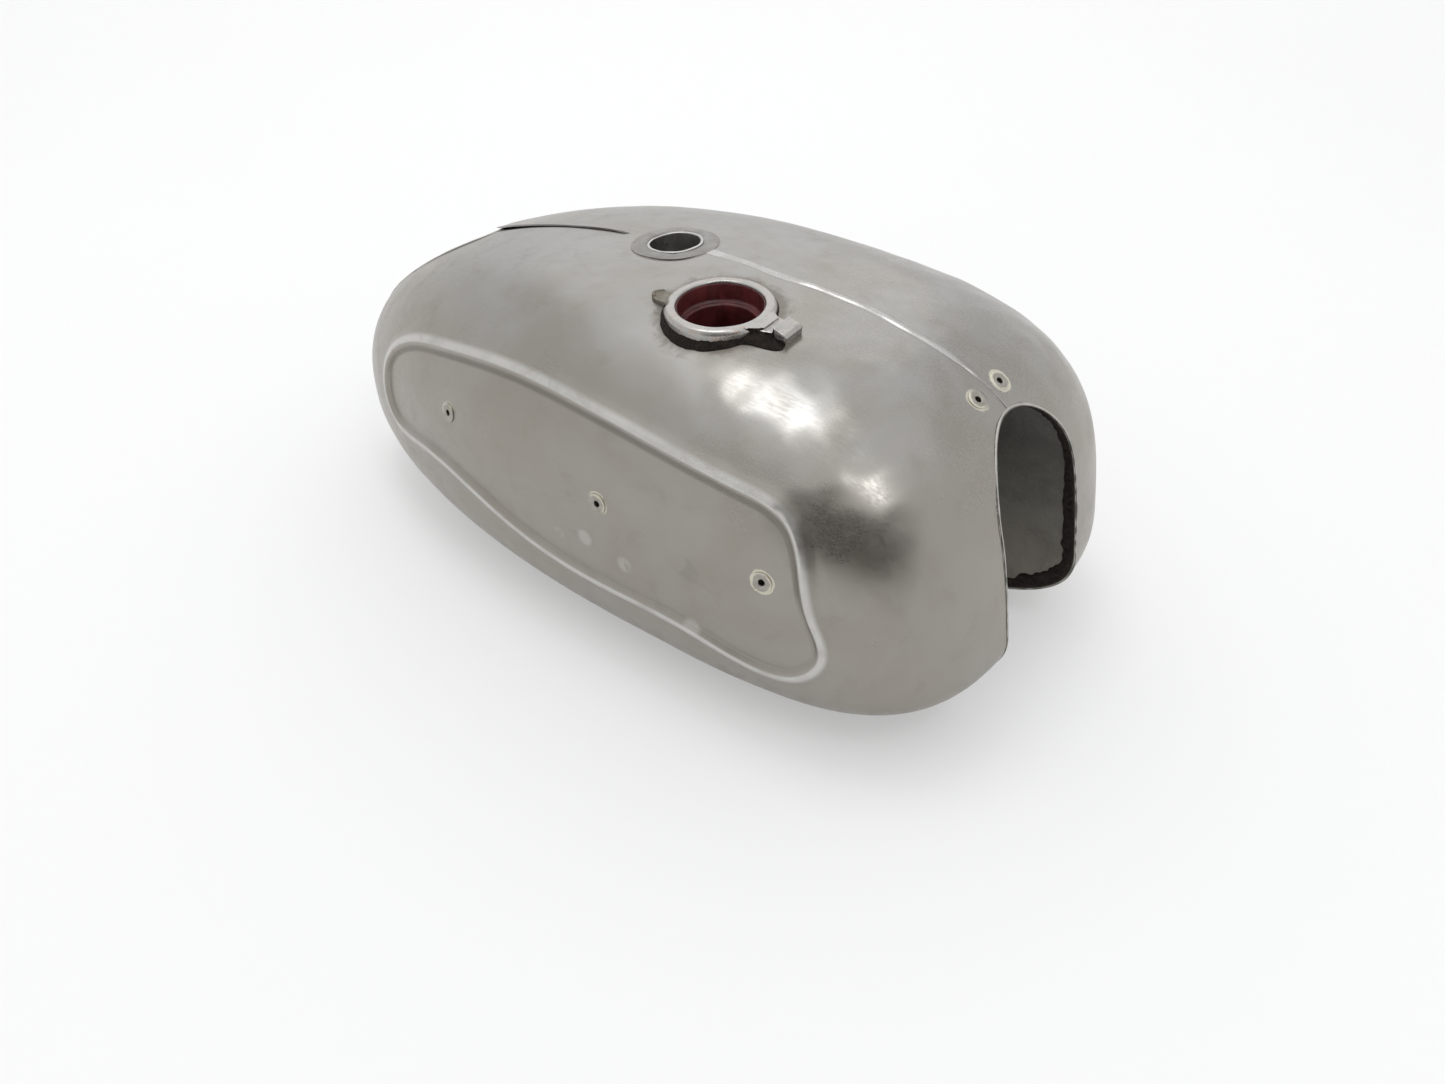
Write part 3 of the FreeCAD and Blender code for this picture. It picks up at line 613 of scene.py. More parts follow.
def seam_step(points, side):
    """Behind the sleeve, one half rolls down to the open joint and the other stands over it."""
    x, y = points[..., 0], points[..., 1]
    behind = ease((JOINT_START_X + 0.003 - x) / 0.006)
    near = np.clip(1.0 - y / 0.007, 0.0, 1.0) ** 2
    if side == RIGHT:
        return behind * near * -JOINT_ROLL
    prouder = ease(share(x, -0.10, -0.25)) * ease(share(x, -0.2785, -0.262))
    stand = TAIL_STAND * prouder * np.clip(1.0 - y / 0.070, 0.0, 1.0) ** 2
    return behind * near * JOINT_STAND + stand


def tunnel_outline(spread_by):
    """Inverted U in (Y, Z), open below the tank, grown by a distance."""
    half = TUNNEL_HALF_WIDTH + spread_by
    spring = TUNNEL_ROOF_Z + spread_by - half
    arch = [(half * math.cos(t), spring + half * math.sin(t)) for t in np.linspace(0.0, math.pi, 73)]
    return [(half, -REACH)] + arch + [(-half, -REACH)]


def pan_outline(side, setback):
    """Plan outline of one base pan, set back from the widest outline."""
    turns = np.linspace(0.0, math.pi, 90)[1:-1]
    x = (TAIL_X + NOSE_X) / 2 - (NOSE_X - TAIL_X - 2 * setback) / 2 * np.cos(turns)
    y = section(x)[0] - setback
    keep = y > TUNNEL_HALF_WIDTH
    x, y = x[keep], y[keep]
    x = x - rake(x, 0.0)
    points = [(x[0], 0.0)] + list(zip(x, y)) + [(x[-1], 0.0)]
    return [(a, side * b) for a, b in points]


def half_shell(side, word, grid, outside, inside):
    """One pressed outer half, open where the tunnel, the pan, the sleeve and the holes are."""
    points, normals, distance = grid
    pressed = pressing(points, distance) + hand_work(points, side) + seam_step(points, side)
    outer = points + normals * pressed[..., None]
    inner = points + normals * (pressed - SHEET)[..., None]
    both = stacked(outer, inner)
    both[:, 1] *= side
    rows, columns = points.shape[:2]
    piece = new_piece(word + "_half_shell_steel", both, slab_faces(rows, columns, side == RIGHT),
                      [outside, inside])
    to_rib = piece.data.attributes.new("rib", "FLOAT", "POINT")
    to_rib.data.foreach_set("value", np.tile(distance.ravel(), 2).astype(np.float32))
    skin_faces = (rows - 1) * (columns - 1)
    slots = np.zeros(len(piece.data.polygons), np.int32)
    slots[skin_faces:2 * skin_faces] = 1
    piece.data.polygons.foreach_set("material_index", slots)
    tools = [
        prism("tunnel", tunnel_outline(TUNNEL_SHEET), 0, -REACH, REACH),
        prism("pan", pan_outline(side, PAN_SETBACK), 2, -REACH, PAN_CUT_TOP_Z),
        post(SLEEVE_R, SLEEVE_X, 0.0, TUNNEL_ROOF_Z, REACH),
    ]
    gap = JOINT_HALF_GAP
    joint = [(-REACH, -gap), (JOINT_START_X - 0.02, -gap), (JOINT_START_X, 0.0),
             (JOINT_START_X - 0.02, gap), (-REACH, gap)]
    tools.append(prism("joint", joint, 2, POLE_Z, REACH))
    for centre, axis in boss_seats(word):
        tools.append(boss_cutter(centre, axis))
    if side == RIGHT:
        tools.append(leaned(post(FILLER_BORE_R, FILLER.x, FILLER.y, TUNNEL_ROOF_Z, REACH)))
    carve(piece, tools)
    return stands_for(piece, word + "_half_shell")


def hole_names(word):
    """Mounts of the tapped holes on one side's skin."""
    return [f"{word}_badge_hole_{spot}" for spot in ("rear", "middle", "front")] + [word + "_nose_hole"]


def boss_seats(word):
    """Centre and outward axis of each tapped hole on one side's skin."""
    return [(Vector(MOUNTS[name]["pos_m"]), Vector(MOUNTS[name]["axis"])) for name in hole_names(word)]


def boss_cutter(centre, axis):
    """Cylinder through the skin where a boss sits."""
    rows = lathe_points([(BOSS_R, -BOSS_LENGTH), (BOSS_R, BOSS_LENGTH)], 64)
    return rod("boss_cutter", on_axis(rows.reshape(-1, 3), centre, axis))


# ---------------------------------------------------------------- finishes

class Finish:
    """Procedural material: each call adds a shader node whose inputs are constants or outputs."""

    def __init__(self, name):
        self.material = bpy.data.materials.new(name)
        self.material.use_nodes = True
        self.tree = self.material.node_tree
        self.tree.nodes.clear()
        self.place = self.node("ShaderNodeTexCoord").outputs["Object"]

    def node(self, kind, inputs=None, **settings):
        """Add one node."""
        node = self.tree.nodes.new(kind)
        for key, value in settings.items():
            setattr(node, key, value)
        for key, value in (inputs or {}).items():
            if isinstance(value, bpy.types.NodeSocket):
                self.tree.links.new(value, node.inputs[key])
            else:
                node.inputs[key].default_value = value
        return node

    def noise(self, size, detail=3.0, rough=0.55, warp=0.0, stretch=(1.0, 1.0, 1.0), move=0.0):
        """Noise from 0 to 1 with features of a size in metres."""
        scale = 1.0 / size
        where = self.node("ShaderNodeMapping", {
            "Vector": self.place, "Location": (move, move, move),
            "Scale": tuple(scale * s for s in stretch)}).outputs[0]
        return self.node("ShaderNodeTexNoise", {
            "Vector": where, "Scale": 1.0, "Detail": detail, "Roughness": rough,
            "Distortion": warp}).outputs["Fac"]

    def span(self, value, start, stop, low=0.0, high=1.0):
        """Smooth change from low to high as a value goes from start to stop."""
        return self.node("ShaderNodeMapRange", {
            "Value": value, "From Min": start, "From Max": stop, "To Min": low,
            "To Max": high}, interpolation_type="SMOOTHSTEP").outputs[0]

    def math(self, operation, a, b=0.0):
        """One calculation with two values."""
        return self.node("ShaderNodeMath", {0: a, 1: b}, operation=operation).outputs[0]

    def far(self, point):
        """Distance from a point."""
        return self.node("ShaderNodeVectorMath", {0: self.place, 1: tuple(point)},
                         operation="DISTANCE").outputs["Value"]

    def along(self, point, direction):
        """Distance past a point in a direction."""
        offset = self.node("ShaderNodeVectorMath", {0: self.place, 1: tuple(point)},
                           operation="SUBTRACT").outputs["Vector"]
        return self.node("ShaderNodeVectorMath", {0: offset, 1: tuple(direction)},
                         operation="DOT_PRODUCT").outputs["Value"]

    def part(self, axis):
        """One coordinate."""
        return self.node("ShaderNodeSeparateXYZ", {0: self.place}).outputs[axis]

    def blend(self, amount, under, over):
        """Colour between two colours."""
        return self.node("ShaderNodeMix", {0: amount, 6: under, 7: over},
                         data_type="RGBA").outputs[2]

    def bump(self, height, distance, below=None):
        """Bumps of a height, on top of other bumps."""
        inputs = {"Height": height, "Distance": distance, "Strength": 1.0}
        if below is not None:
            inputs["Normal"] = below
        return self.node("ShaderNodeBump", inputs).outputs[0]

    def done(self, **inputs):
        """Close the material with one shader."""
        names = {"base": "Base Color", "rough": "Roughness", "metal": "Metallic",
                 "normal": "Normal", "coat": "Coat Weight", "coat_rough": "Coat Roughness",
                 "specular": "Specular IOR Level", "glow": "Emission Color",
                 "glow_level": "Emission Strength"}
        shader = self.node("ShaderNodeBsdfPrincipled",
                           {names[key]: value for key, value in inputs.items()})
        output = self.node("ShaderNodeOutputMaterial")
        self.tree.links.new(shader.outputs[0], output.inputs["Surface"])
        return self.material


def grey(level, warmth=0.0):
    """Linear grey, warmer with a larger warmth."""
    return (level * (1.0 + warmth), level, level * (1.0 - 1.6 * warmth), 1.0)


def cream_rings(f, word, base, rough):
    """Cream rings that the boss brazing left, whole or worn off on one side."""
    patchy = f.noise(0.0045, 3.0, 0.6, 0.5, move=11.0)
    for name, (centre, axis) in zip(hole_names(word), boss_seats(word)):
        face = centre + axis * (BOSS_LENGTH / 2)
        away = f.math("ADD", f.far(face), f.span(patchy, 0.3, 0.7, -0.0005, 0.0005))
        ring = f.math("MULTIPLY", f.span(away, 0.0050, 0.0056), f.span(away, 0.0082, 0.0075))
        ring = f.math("MULTIPLY", ring, f.span(patchy, 0.28, 0.50, 0.55, 0.92))
        strength, kept_side = HALOS.get(name, (1.0, None))
        if kept_side:
            ring = f.math("MULTIPLY", ring, f.span(f.along(face, kept_side), -0.003, 0.003, 0.05, 1.0))
        ring = f.math("MULTIPLY", ring, strength)
        base = f.blend(ring, base, (0.66, 0.63, 0.53, 1.0))
        rough = f.math("ADD", rough, f.math("MULTIPLY", ring, 0.12))
    return base, rough


def boss_finish(word):
    """Steel of the tapped bosses, a little duller than the skin, under the cream rings."""
    f = Finish("boss_" + word)
    clouds = f.noise(0.004, 3.0, 0.6, 0.5)
    base = f.blend(f.span(clouds, 0.3, 0.7), grey(0.30, 0.08), grey(0.37, 0.05))
    rough = f.span(clouds, 0.3, 0.7, 0.46, 0.40)
    base, rough = cream_rings(f, word, base, rough)
    return f.done(base=base, rough=rough, metal=1.0, normal=f.bump(clouds, 0.00005))


def steel_skin(word):
    """Bare pressed steel: cloudy sheen, sanding marks, cream rings round the bosses, stains, a painted
    reflection of the shadowed floor along the sill, and a painted highlight and painted shade along the
    rib.
    """
    f = Finish("steel_" + word)
    clouds = f.noise(0.070, 3.0, 0.5, 0.6)
    film = f.noise(0.021, 4.0, 0.6, 0.4, move=3.0)
    base = f.blend(f.span(clouds, 0.30, 0.70), grey(STEEL_LOW, 0.055), grey(STEEL_HIGH, 0.02))
    base = f.blend(f.span(film, 0.52, 0.80, 0.0, 0.35), base, grey(STEEL_LOW * 0.8, 0.09))
    rough = f.math("ADD", f.span(clouds, 0.25, 0.75, ROUGH_LOW, ROUGH_HIGH),
                   f.span(film, 0.3, 0.8, -0.03, 0.06))
    sanding = f.noise(0.0016, 2.0, 0.6, 0.0, stretch=(0.12, 1.0, 1.0))
    rough = f.math("ADD", rough, f.span(sanding, 0.35, 0.75, -0.02, 0.05))
    polish = f.math("MULTIPLY", f.span(f.part(0), 0.06, 0.13), f.span(f.part(2), 0.13, 0.17))
    rough = f.math("SUBTRACT", rough, f.math("MULTIPLY", polish, 0.07))
    base = f.blend(f.span(f.part(2), 0.205, 0.165, 0.0, 0.45), base, grey(STEEL_LOW, 0.10))
    # Darker band along the sill: partly a film of rust and old flux, partly a painted reflection of the
    # shadowed floor under the tank.
    ragged = f.noise(0.010, 4.0, 0.65, 0.8, move=7.0)
    low = f.math("ADD", f.part(2), f.span(ragged, 0.3, 0.7, -0.008, 0.008))
    base = f.blend(f.span(low, 0.046, 0.012, 0.0, 0.55), base, (0.17, 0.155, 0.13, 1.0))
    # Dark brown ring round the filler neck, rougher than the skin.
    if word == "right":
        away = f.math("ADD", f.far(FILLER - NECK_AXIS * 0.010),
                      f.span(ragged, 0.3, 0.7, -0.003, 0.003))
        base = f.blend(f.span(away, 0.0450, 0.0350, 0.0, 0.60), base, (0.13, 0.105, 0.085, 1.0))
        rough = f.math("ADD", rough, f.span(away, 0.045, 0.036, 0.0, 0.12))
    # Painted highlight along the crest of the rib, and painted shade in the corner below its upper run.
    rib = f.node("ShaderNodeAttribute", attribute_name="rib").outputs["Fac"]
    # Painted highlight: the rib's crest lightened.
    crest_highlight = f.math("MULTIPLY", f.span(rib, -0.0016, -0.0002), f.span(rib, 0.0052, 0.0016))
    crest_highlight = f.math("MULTIPLY", crest_highlight, f.span(film, 0.25, 0.60, 0.45, 0.85))
    base = f.blend(crest_highlight, base, (0.60, 0.59, 0.57, 1.0))
    # Painted shade: the corner below the rib's upper run darkened.
    corner = f.math("MULTIPLY", f.span(rib, -0.0068, -0.0046), f.span(rib, -0.0018, -0.0034))
    corner = f.math("MULTIPLY", corner, f.span(f.part(2), 0.110, 0.126, 0.15, 0.62))
    base = f.blend(corner, base, (0.13, 0.12, 0.105, 1.0))
    # Rubbed marks low on the right panel, and a nick in the sill below it.
    if word == "right":
        for spot, reach, level in RUBS:
            mark = f.math("MULTIPLY", f.span(f.far(spot), reach, reach * 0.5), f.span(film, 0.42, 0.55))
            base = f.blend(f.math("MULTIPLY", mark, 0.32), base, grey(level, 0.02))
    # Brown line round the collar.
    away = f.far((SLEEVE_X, 0.0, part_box("centre_collar")[1].z - 0.001))
    line = f.math("MULTIPLY", f.span(away, COLLAR_R - 0.0004, COLLAR_R + 0.0004),
                  f.span(away, COLLAR_R + 0.0022, COLLAR_R + 0.0010))
    base = f.blend(f.math("MULTIPLY", line, 0.6), base, (0.14, 0.10, 0.07, 1.0))
    base, rough = cream_rings(f, word, base, rough)
    grain = f.noise(0.0009, 2.0, 0.6, 0.0, stretch=(0.25, 1.0, 1.0))
    normal = f.bump(f.math("ADD", f.math("MULTIPLY", grain, 0.12), film), 0.00005)
    return f.done(base=base, rough=rough, metal=1.0, normal=normal)


def plain_steel(name, level, warmth, rough_low, rough_high, size, bump_height, stain=None):
    """Steel of one finish with clouds, and stains where asked."""
    f = Finish(name)
    clouds = f.noise(size, 4.0, 0.6, 0.5)
    fine = f.noise(size * 0.12, 3.0, 0.6, move=5.0)
    base = f.blend(f.span(clouds, 0.3, 0.7), grey(level * 0.82, warmth * 1.6), grey(level, warmth))
    if stain:
        base = f.blend(f.span(clouds, 0.50, 0.66, 0.0, 0.55), base, stain)
    rough = f.math("ADD", f.span(clouds, 0.3, 0.7, rough_high, rough_low),
                   f.span(fine, 0.3, 0.7, -0.04, 0.04))
    normal = f.bump(f.math("ADD", fine, clouds), bump_height)
    return f.done(base=base, rough=rough, metal=1.0, normal=normal)


def braze_finish(name):
    """Brown-black braze with flux and small bright spatters."""
    f = Finish(name)
    lumps = f.noise(0.0030, 5.0, 0.7, 0.6)
    fine = f.noise(0.0008, 3.0, 0.6, move=4.0)
    base = f.blend(f.span(lumps, 0.35, 0.75), (0.007, 0.005, 0.004, 1.0), (0.032, 0.023, 0.018, 1.0))
    base = f.blend(f.span(fine, 0.68, 0.80, 0.0, 0.4), base, (0.22, 0.18, 0.14, 1.0))
    rough = f.span(lumps, 0.3, 0.8, 0.50, 0.85)
    normal = f.bump(f.math("ADD", f.math("MULTIPLY", fine, 0.3), lumps), 0.0009)
    return f.done(base=base, rough=rough, metal=0.0, specular=0.12, normal=normal)


def sealer_finish(name):
    """Dark oxblood tank sealer with runs and a satin surface."""
    f = Finish(name)
    clouds = f.noise(0.012, 4.0, 0.6, 0.4)
    runs = f.noise(0.004, 3.0, 0.6, 0.3, stretch=(1.0, 1.0, 0.25), move=2.0)
    fine = f.noise(0.0008, 2.0, 0.6, move=9.0)
    base = f.blend(f.span(clouds, 0.3, 0.7), (0.050, 0.008, 0.009, 1.0), (0.115, 0.022, 0.022, 1.0))
    rough = f.span(runs, 0.3, 0.7, 0.28, 0.48)
    normal = f.bump(f.math("ADD", f.math("MULTIPLY", fine, 0.2), runs), 0.0003)
    return f.done(base=base, rough=rough, metal=0.0, normal=normal)


def channel_finish(name):
    """Dull grey steel inside the tunnel, with painted light and shade: lighter low down and darker towards
    the roof.
    """
    f = Finish(name)
    clouds = f.noise(0.030, 4.0, 0.6, 0.6)
    fine = f.noise(0.0012, 3.0, 0.7, move=6.0)
    # Painted light and shade: lighter low down where light from the floor reaches, darker towards the roof.
    height = f.span(f.part(2), 0.02, 0.17)
    base = f.blend(height, (0.210, 0.196, 0.165, 1.0), (0.120, 0.117, 0.106, 1.0))
    base = f.blend(f.span(clouds, 0.35, 0.75, 0.0, 0.45), base, (0.085, 0.079, 0.070, 1.0))
    base = f.blend(f.span(fine, 0.58, 0.72, 0.0, 0.55), base, (0.32, 0.305, 0.275, 1.0))
    rough = f.span(clouds, 0.3, 0.7, 0.55, 0.75)
    normal = f.bump(f.math("ADD", f.math("MULTIPLY", fine, 0.5), clouds), 0.0004)
    return f.done(base=base, rough=rough, metal=0.45, normal=normal)


# ---------------------------------------------------------------- crown fittings

def crown_point(x, y, above=0.0):
    """Point over the crown at forward position x and distance y from the centre plane."""
    z = crown_z(np.asarray(x, float), np.asarray(y, float)) + above
    return np.stack(np.broadcast_arrays(x, y, z), -1)


def boss(name, centre, axis, materials):
    """Turned boss flush with the skin, with a chamfered tapped hole."""
    half = BOSS_LENGTH / 2
    profile = [(BORE_R, -half), (BORE_R, half - 0.0005), (BORE_R + 0.0006, half - 0.0001),
               (BORE_R + 0.0013, half), (BOSS_R - 0.0008, half), (BOSS_R - 0.0001, half - 0.0004),
               (BOSS_R - 0.0001, -half + 0.0005), (BOSS_R - 0.0006, -half)]
    return lathe(name, profile[::-1], 96, materials, centre, axis)


def centre_sleeve(steel):
    """Upright tube with a rounded lip that stands a little above the crown."""
    low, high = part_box("centre_sleeve")
    profile = rounded([(SLEEVE_BORE_R, low.z), (SLEEVE_R, low.z), (SLEEVE_R, high.z),
                       (SLEEVE_BORE_R, high.z)], 0.0008, 6)
    piece = lathe("sleeve_tube", profile, 256, [steel], (SLEEVE_X, 0.0, 0.0))
    points = mesh_points(piece)
    lip = points[:, 2] > high.z - 0.003
    drop = crown_z(SLEEVE_X + SLEEVE_R, 0.0) - crown_z(points[:, 0], 0.0)
    points[:, 2] += (waves(points, 0.012, 21) * 0.00012 - 1.4 * drop) * lip
    points[:, 2] = np.minimum(points[:, 2], high.z)
    place(piece, points)
    return stands_for(piece, "centre_sleeve")


def crown_ring(name, inner_r, width, centre, height, materials, turns=256, steps=14):
    """Raised ring that follows the crown: width and height are functions of the turn angle."""
    angles = np.linspace(0.0, 2.0 * math.pi, turns, endpoint=False)
    across = np.linspace(0.0, 1.0, steps)
    angle, share_out = np.meshgrid(angles, across, indexing="ij")
    radius = inner_r + width(angle) * share_out
    x = centre[0] + radius * np.cos(angle)
    y = centre[1] + radius * np.sin(angle)
    top = crown_point(x, y, height(angle, share_out))
    points = stacked(top, crown_point(x, y, -WELD_SINK))
    return new_piece(name, points, ring_faces(turns, steps, True), materials)


def centre_collar(steel):
    """Ground collar of weld round the sleeve, with nicks on its front right."""
    def width(angle):
        return COLLAR_R - SLEEVE_R + 0.0010 * np.sin(2 * angle + 0.6) + 0.0004 * np.sin(5 * angle)

    def height(angle, out):
        dome = 0.0009 * np.cos(out * math.pi / 2) ** 0.8
        groove = 0.0007 * np.exp(-(out / 0.10) ** 2)
        return dome - groove + 0.00003

    piece = crown_ring("collar_weld", SLEEVE_R, width, (SLEEVE_X, 0.0), height, [steel])
    points = mesh_points(piece)
    away = np.hypot(points[:, 0] - SLEEVE_X, points[:, 1])
    turn = np.arctan2(points[:, 1], points[:, 0] - SLEEVE_X)
    bite = np.exp(-((turn + 0.95) / 0.20) ** 2) * np.exp(-((away - 0.0205) / 0.0012) ** 2)
    bite = bite * (0.6 + 0.4 * waves(points, 0.003, 31))
    points[:, 2] += waves(points, 0.009, 33) * 0.00007 - 0.0008 * bite
    place(piece, points)
    return stands_for(piece, "centre_collar")


def seam_ridge(steel):
    """Ground weld along the crown from the collar to the tunnel's mouth."""
    low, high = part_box("seam_ridge")
    run = np.linspace(station_at(low.x + 0.001, CROWN_Z), NOSE_X - TIP, 900)
    run = run[section(run)[1] > TUNNEL_ROOF_Z + TUNNEL_SHEET]
    station, out = np.meshgrid(np.linspace(run[0], run[-1], 300), np.linspace(-1.0, 1.0, 17), indexing="ij")
    crown = section(station)[1]
    x = station - rake(station, crown)
    narrow = 1.0 - 0.80 * ease(share(x, high.x - 0.030, high.x + 0.004))
    wobble = 0.0007 * np.sin(x * 61.0) + 0.0004 * np.sin(x * 143.0)
    half = 0.0034 * narrow * (1.0 + 0.12 * np.sin(x * 97.0))
    rise = ease(share(x, low.x + 0.004, low.x + 0.060)) * (0.45 + 0.55 * narrow)
    tall = 0.00105 * rise * (1.0 + 0.10 * np.sin(x * 210.0)) * np.cos(out * math.pi / 2) ** 1.5
    lean = np.arctan2(-np.gradient(crown, axis=0), np.gradient(x, axis=0))
    lift = np.stack([np.sin(lean), 0.0 * lean, np.cos(lean)], -1)
    skin = np.stack([x, out * half + wobble * narrow, crown], -1)
    top = skin + lift * (tall + 0.00004)[..., None]
    points = stacked(top, skin - lift * WELD_SINK)
    piece = new_piece("seam_weld", points, slab_faces(300, 17, False), [steel])
    return stands_for(piece, "seam_ridge")


def filler_ring(steel):
    """Heavy neck ring with a flat land, a bevelled edge and its side down to the body."""
    top = FILLER.z
    foot = top - 0.028
    profile = rounded([
        (FILLER_BORE_R, foot), (RING_R - 0.0004, foot), (RING_R, top - 0.0024),
        (RING_R - 0.0014, top - 0.0005), (RING_R - 0.0030, top),
        (FILLER_BORE_R + 0.0007, top), (FILLER_BORE_R, top - 0.0008)], 0.0004, 3)
    piece = lathe("neck_ring", profile, 320, [steel], (FILLER.x, FILLER.y, 0.0))
    points = mesh_points(piece)
    turn = np.arctan2(points[:, 1] - FILLER.y, points[:, 0] - FILLER.x)
    away = np.hypot(points[:, 0] - FILLER.x, points[:, 1] - FILLER.y)
    edge = np.exp(-((away - RING_R + 0.001) / 0.0015) ** 2) * (points[:, 2] > top - 0.006)
    gouge = np.exp(-((turn + 2.62) / 0.11) ** 2) * edge
    points[:, 2] -= 0.0011 * gouge
    points[:, :2] += (np.array([FILLER.x, FILLER.y]) - points[:, :2]) * (0.020 * gouge)[:, None]
    points[:, 2] += (waves(points, 0.018, 41) * 0.00010 - 0.0001) * (points[:, 2] > top - 0.004)
    points[:, 2] = np.minimum(points[:, 2], top)
    place(piece, points)
    carve(leaned(piece), [body_tool("ring_seat")])
    return stands_for(piece, "filler_neck_ring")


def body_tool(name):
    """Closed block below the crown round the filler, for cutting things to the skin."""
    x = np.linspace(FILLER.x - 0.075, FILLER.x + 0.075, 61)
    y = np.linspace(FILLER.y - 0.062, FILLER.y + 0.062, 51)
    x, y = np.meshgrid(x, y, indexing="ij")
    top = crown_point(x, y, -SEAT_SINK)
    foot = np.stack([x, y, np.full(x.shape, 0.150)], -1)
    return new_piece(name, stacked(top, foot), slab_faces(61, 51, False), [])


def filler_cup(sealer):
    """Sealed throat: an upper wall, a ledge for the cap's washer and a lower wall."""
    top = FILLER.z - 0.0016
    seat = FILLER.z - 0.0130
    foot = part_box("filler_neck_cup")[0].z
    wall = FILLER_BORE_R - 0.0001
    profile = rounded([
        (CUP_BORE_R + 0.0004, top), (wall, top), (wall, seat - 0.0024),
        (SEAT_BORE_R + 0.0012, seat - 0.0034), (SEAT_BORE_R + 0.0012, foot), (SEAT_BORE_R, foot),
        (SEAT_BORE_R, seat - 0.0010), (SEAT_BORE_R + 0.0010, seat),
        (CUP_BORE_R - 0.0012, seat), (CUP_BORE_R, seat + 0.0014)], 0.0009, 5)
    piece = lathe("neck_throat", profile, 240, [sealer], (FILLER.x, FILLER.y, 0.0))
    points = mesh_points(piece)
    axis = np.array([FILLER.x, FILLER.y])
    away = np.hypot(*(points[:, :2] - axis).T)
    runs = (waves(points * np.array([1.0, 1.0, 0.3]), 0.007, 51) - 1.0) * 0.00010
    inside = away < CUP_BORE_R + 0.0002
    points[:, :2] += (points[:, :2] - axis) / away[:, None] * (runs * inside)[:, None]
    place(piece, points)
    return stands_for(leaned(piece), "filler_neck_cup")


def filler_braze(braze):
    """Lumpy fillet of braze between the ring and the skin, heaped up on the low side."""
    turns, steps = 420, 22
    angles = np.linspace(0.0, 2.0 * math.pi, turns, endpoint=False)
    angle, out = np.meshgrid(angles, np.linspace(0.0, 1.0, steps), indexing="ij")
    wall_x, wall_y = FILLER.x + RING_R * np.cos(angle), FILLER.y + RING_R * np.sin(angle)
    bare = FILLER.z - crown_z(wall_x, wall_y)
    near = ease(share(bare, 0.004, 0.013))
    lug = np.exp(-((angle - 2 * math.pi + 0.20) / 0.20) ** 2) + np.exp(-((angle + 0.20) / 0.20) ** 2)
    spots = np.stack([np.cos(angle), np.sin(angle), 0.0 * angle], -1)
    lumps = waves(spots, 0.30, 61) + 0.6 * waves(spots, 0.12, 62)
    tall = 0.0008 + 0.0028 * near * (1.0 + 0.07 * lumps) + 0.0026 * lug
    wide = 0.0010 + 0.0022 * near * (1.0 + 0.12 * waves(spots, 0.22, 63)) + 0.0185 * lug
    radius = RING_R - 0.0006 + (wide + 0.0006) * out
    x, y = FILLER.x + radius * np.cos(angle), FILLER.y + radius * np.sin(angle)
    fillet = tall * (1.0 - out ** 1.5) ** 0.9 + 0.00004
    top = crown_point(x, y, fillet)
    grain = 0.00028 * waves(top, 0.0042, 64) + 0.00016 * waves(top, 0.0018, 65)
    top[..., 2] += grain * np.minimum(1.0, fillet / 0.001)
    points = stacked(top, crown_point(x, y, -WELD_SINK))
    piece = new_piece("neck_braze", points, ring_faces(turns, steps, False), [braze], 60.0)
    return stands_for(piece, "filler_braze")


def fuse(name, parts, materials, voxel, rough, seed):
    """One cast lump made of overlapping closed parts, softened and slightly uneven."""
    work = bmesh.new()
    for part in parts:
        work.from_mesh(part.data)
        bpy.data.objects.remove(part)
    mesh = bpy.data.meshes.new(name)
    work.to_mesh(mesh)
    work.free()
    piece = linked(name, mesh)
    change = piece.modifiers.new("skin", "REMESH")
    change.mode = "VOXEL"
    change.voxel_size = voxel
    soften = piece.modifiers.new("soften", "SMOOTH")
    soften.factor = 0.5
    soften.iterations = 3
    settle(piece)
    points = mesh_points(piece)
    points += waves(points, 0.004, seed)[:, None] * rough
    place(piece, points)
    piece.data.materials.clear()
    for material in materials:
        piece.data.materials.append(material)
    finish_shading(piece, 60.0)
    return piece


def side_prism(outline, low_y, high_y):
    """Closed prism across the tank from an outline in (X, Z)."""
    return prism("side", [(z, x) for x, z in outline], 1, low_y, high_y)


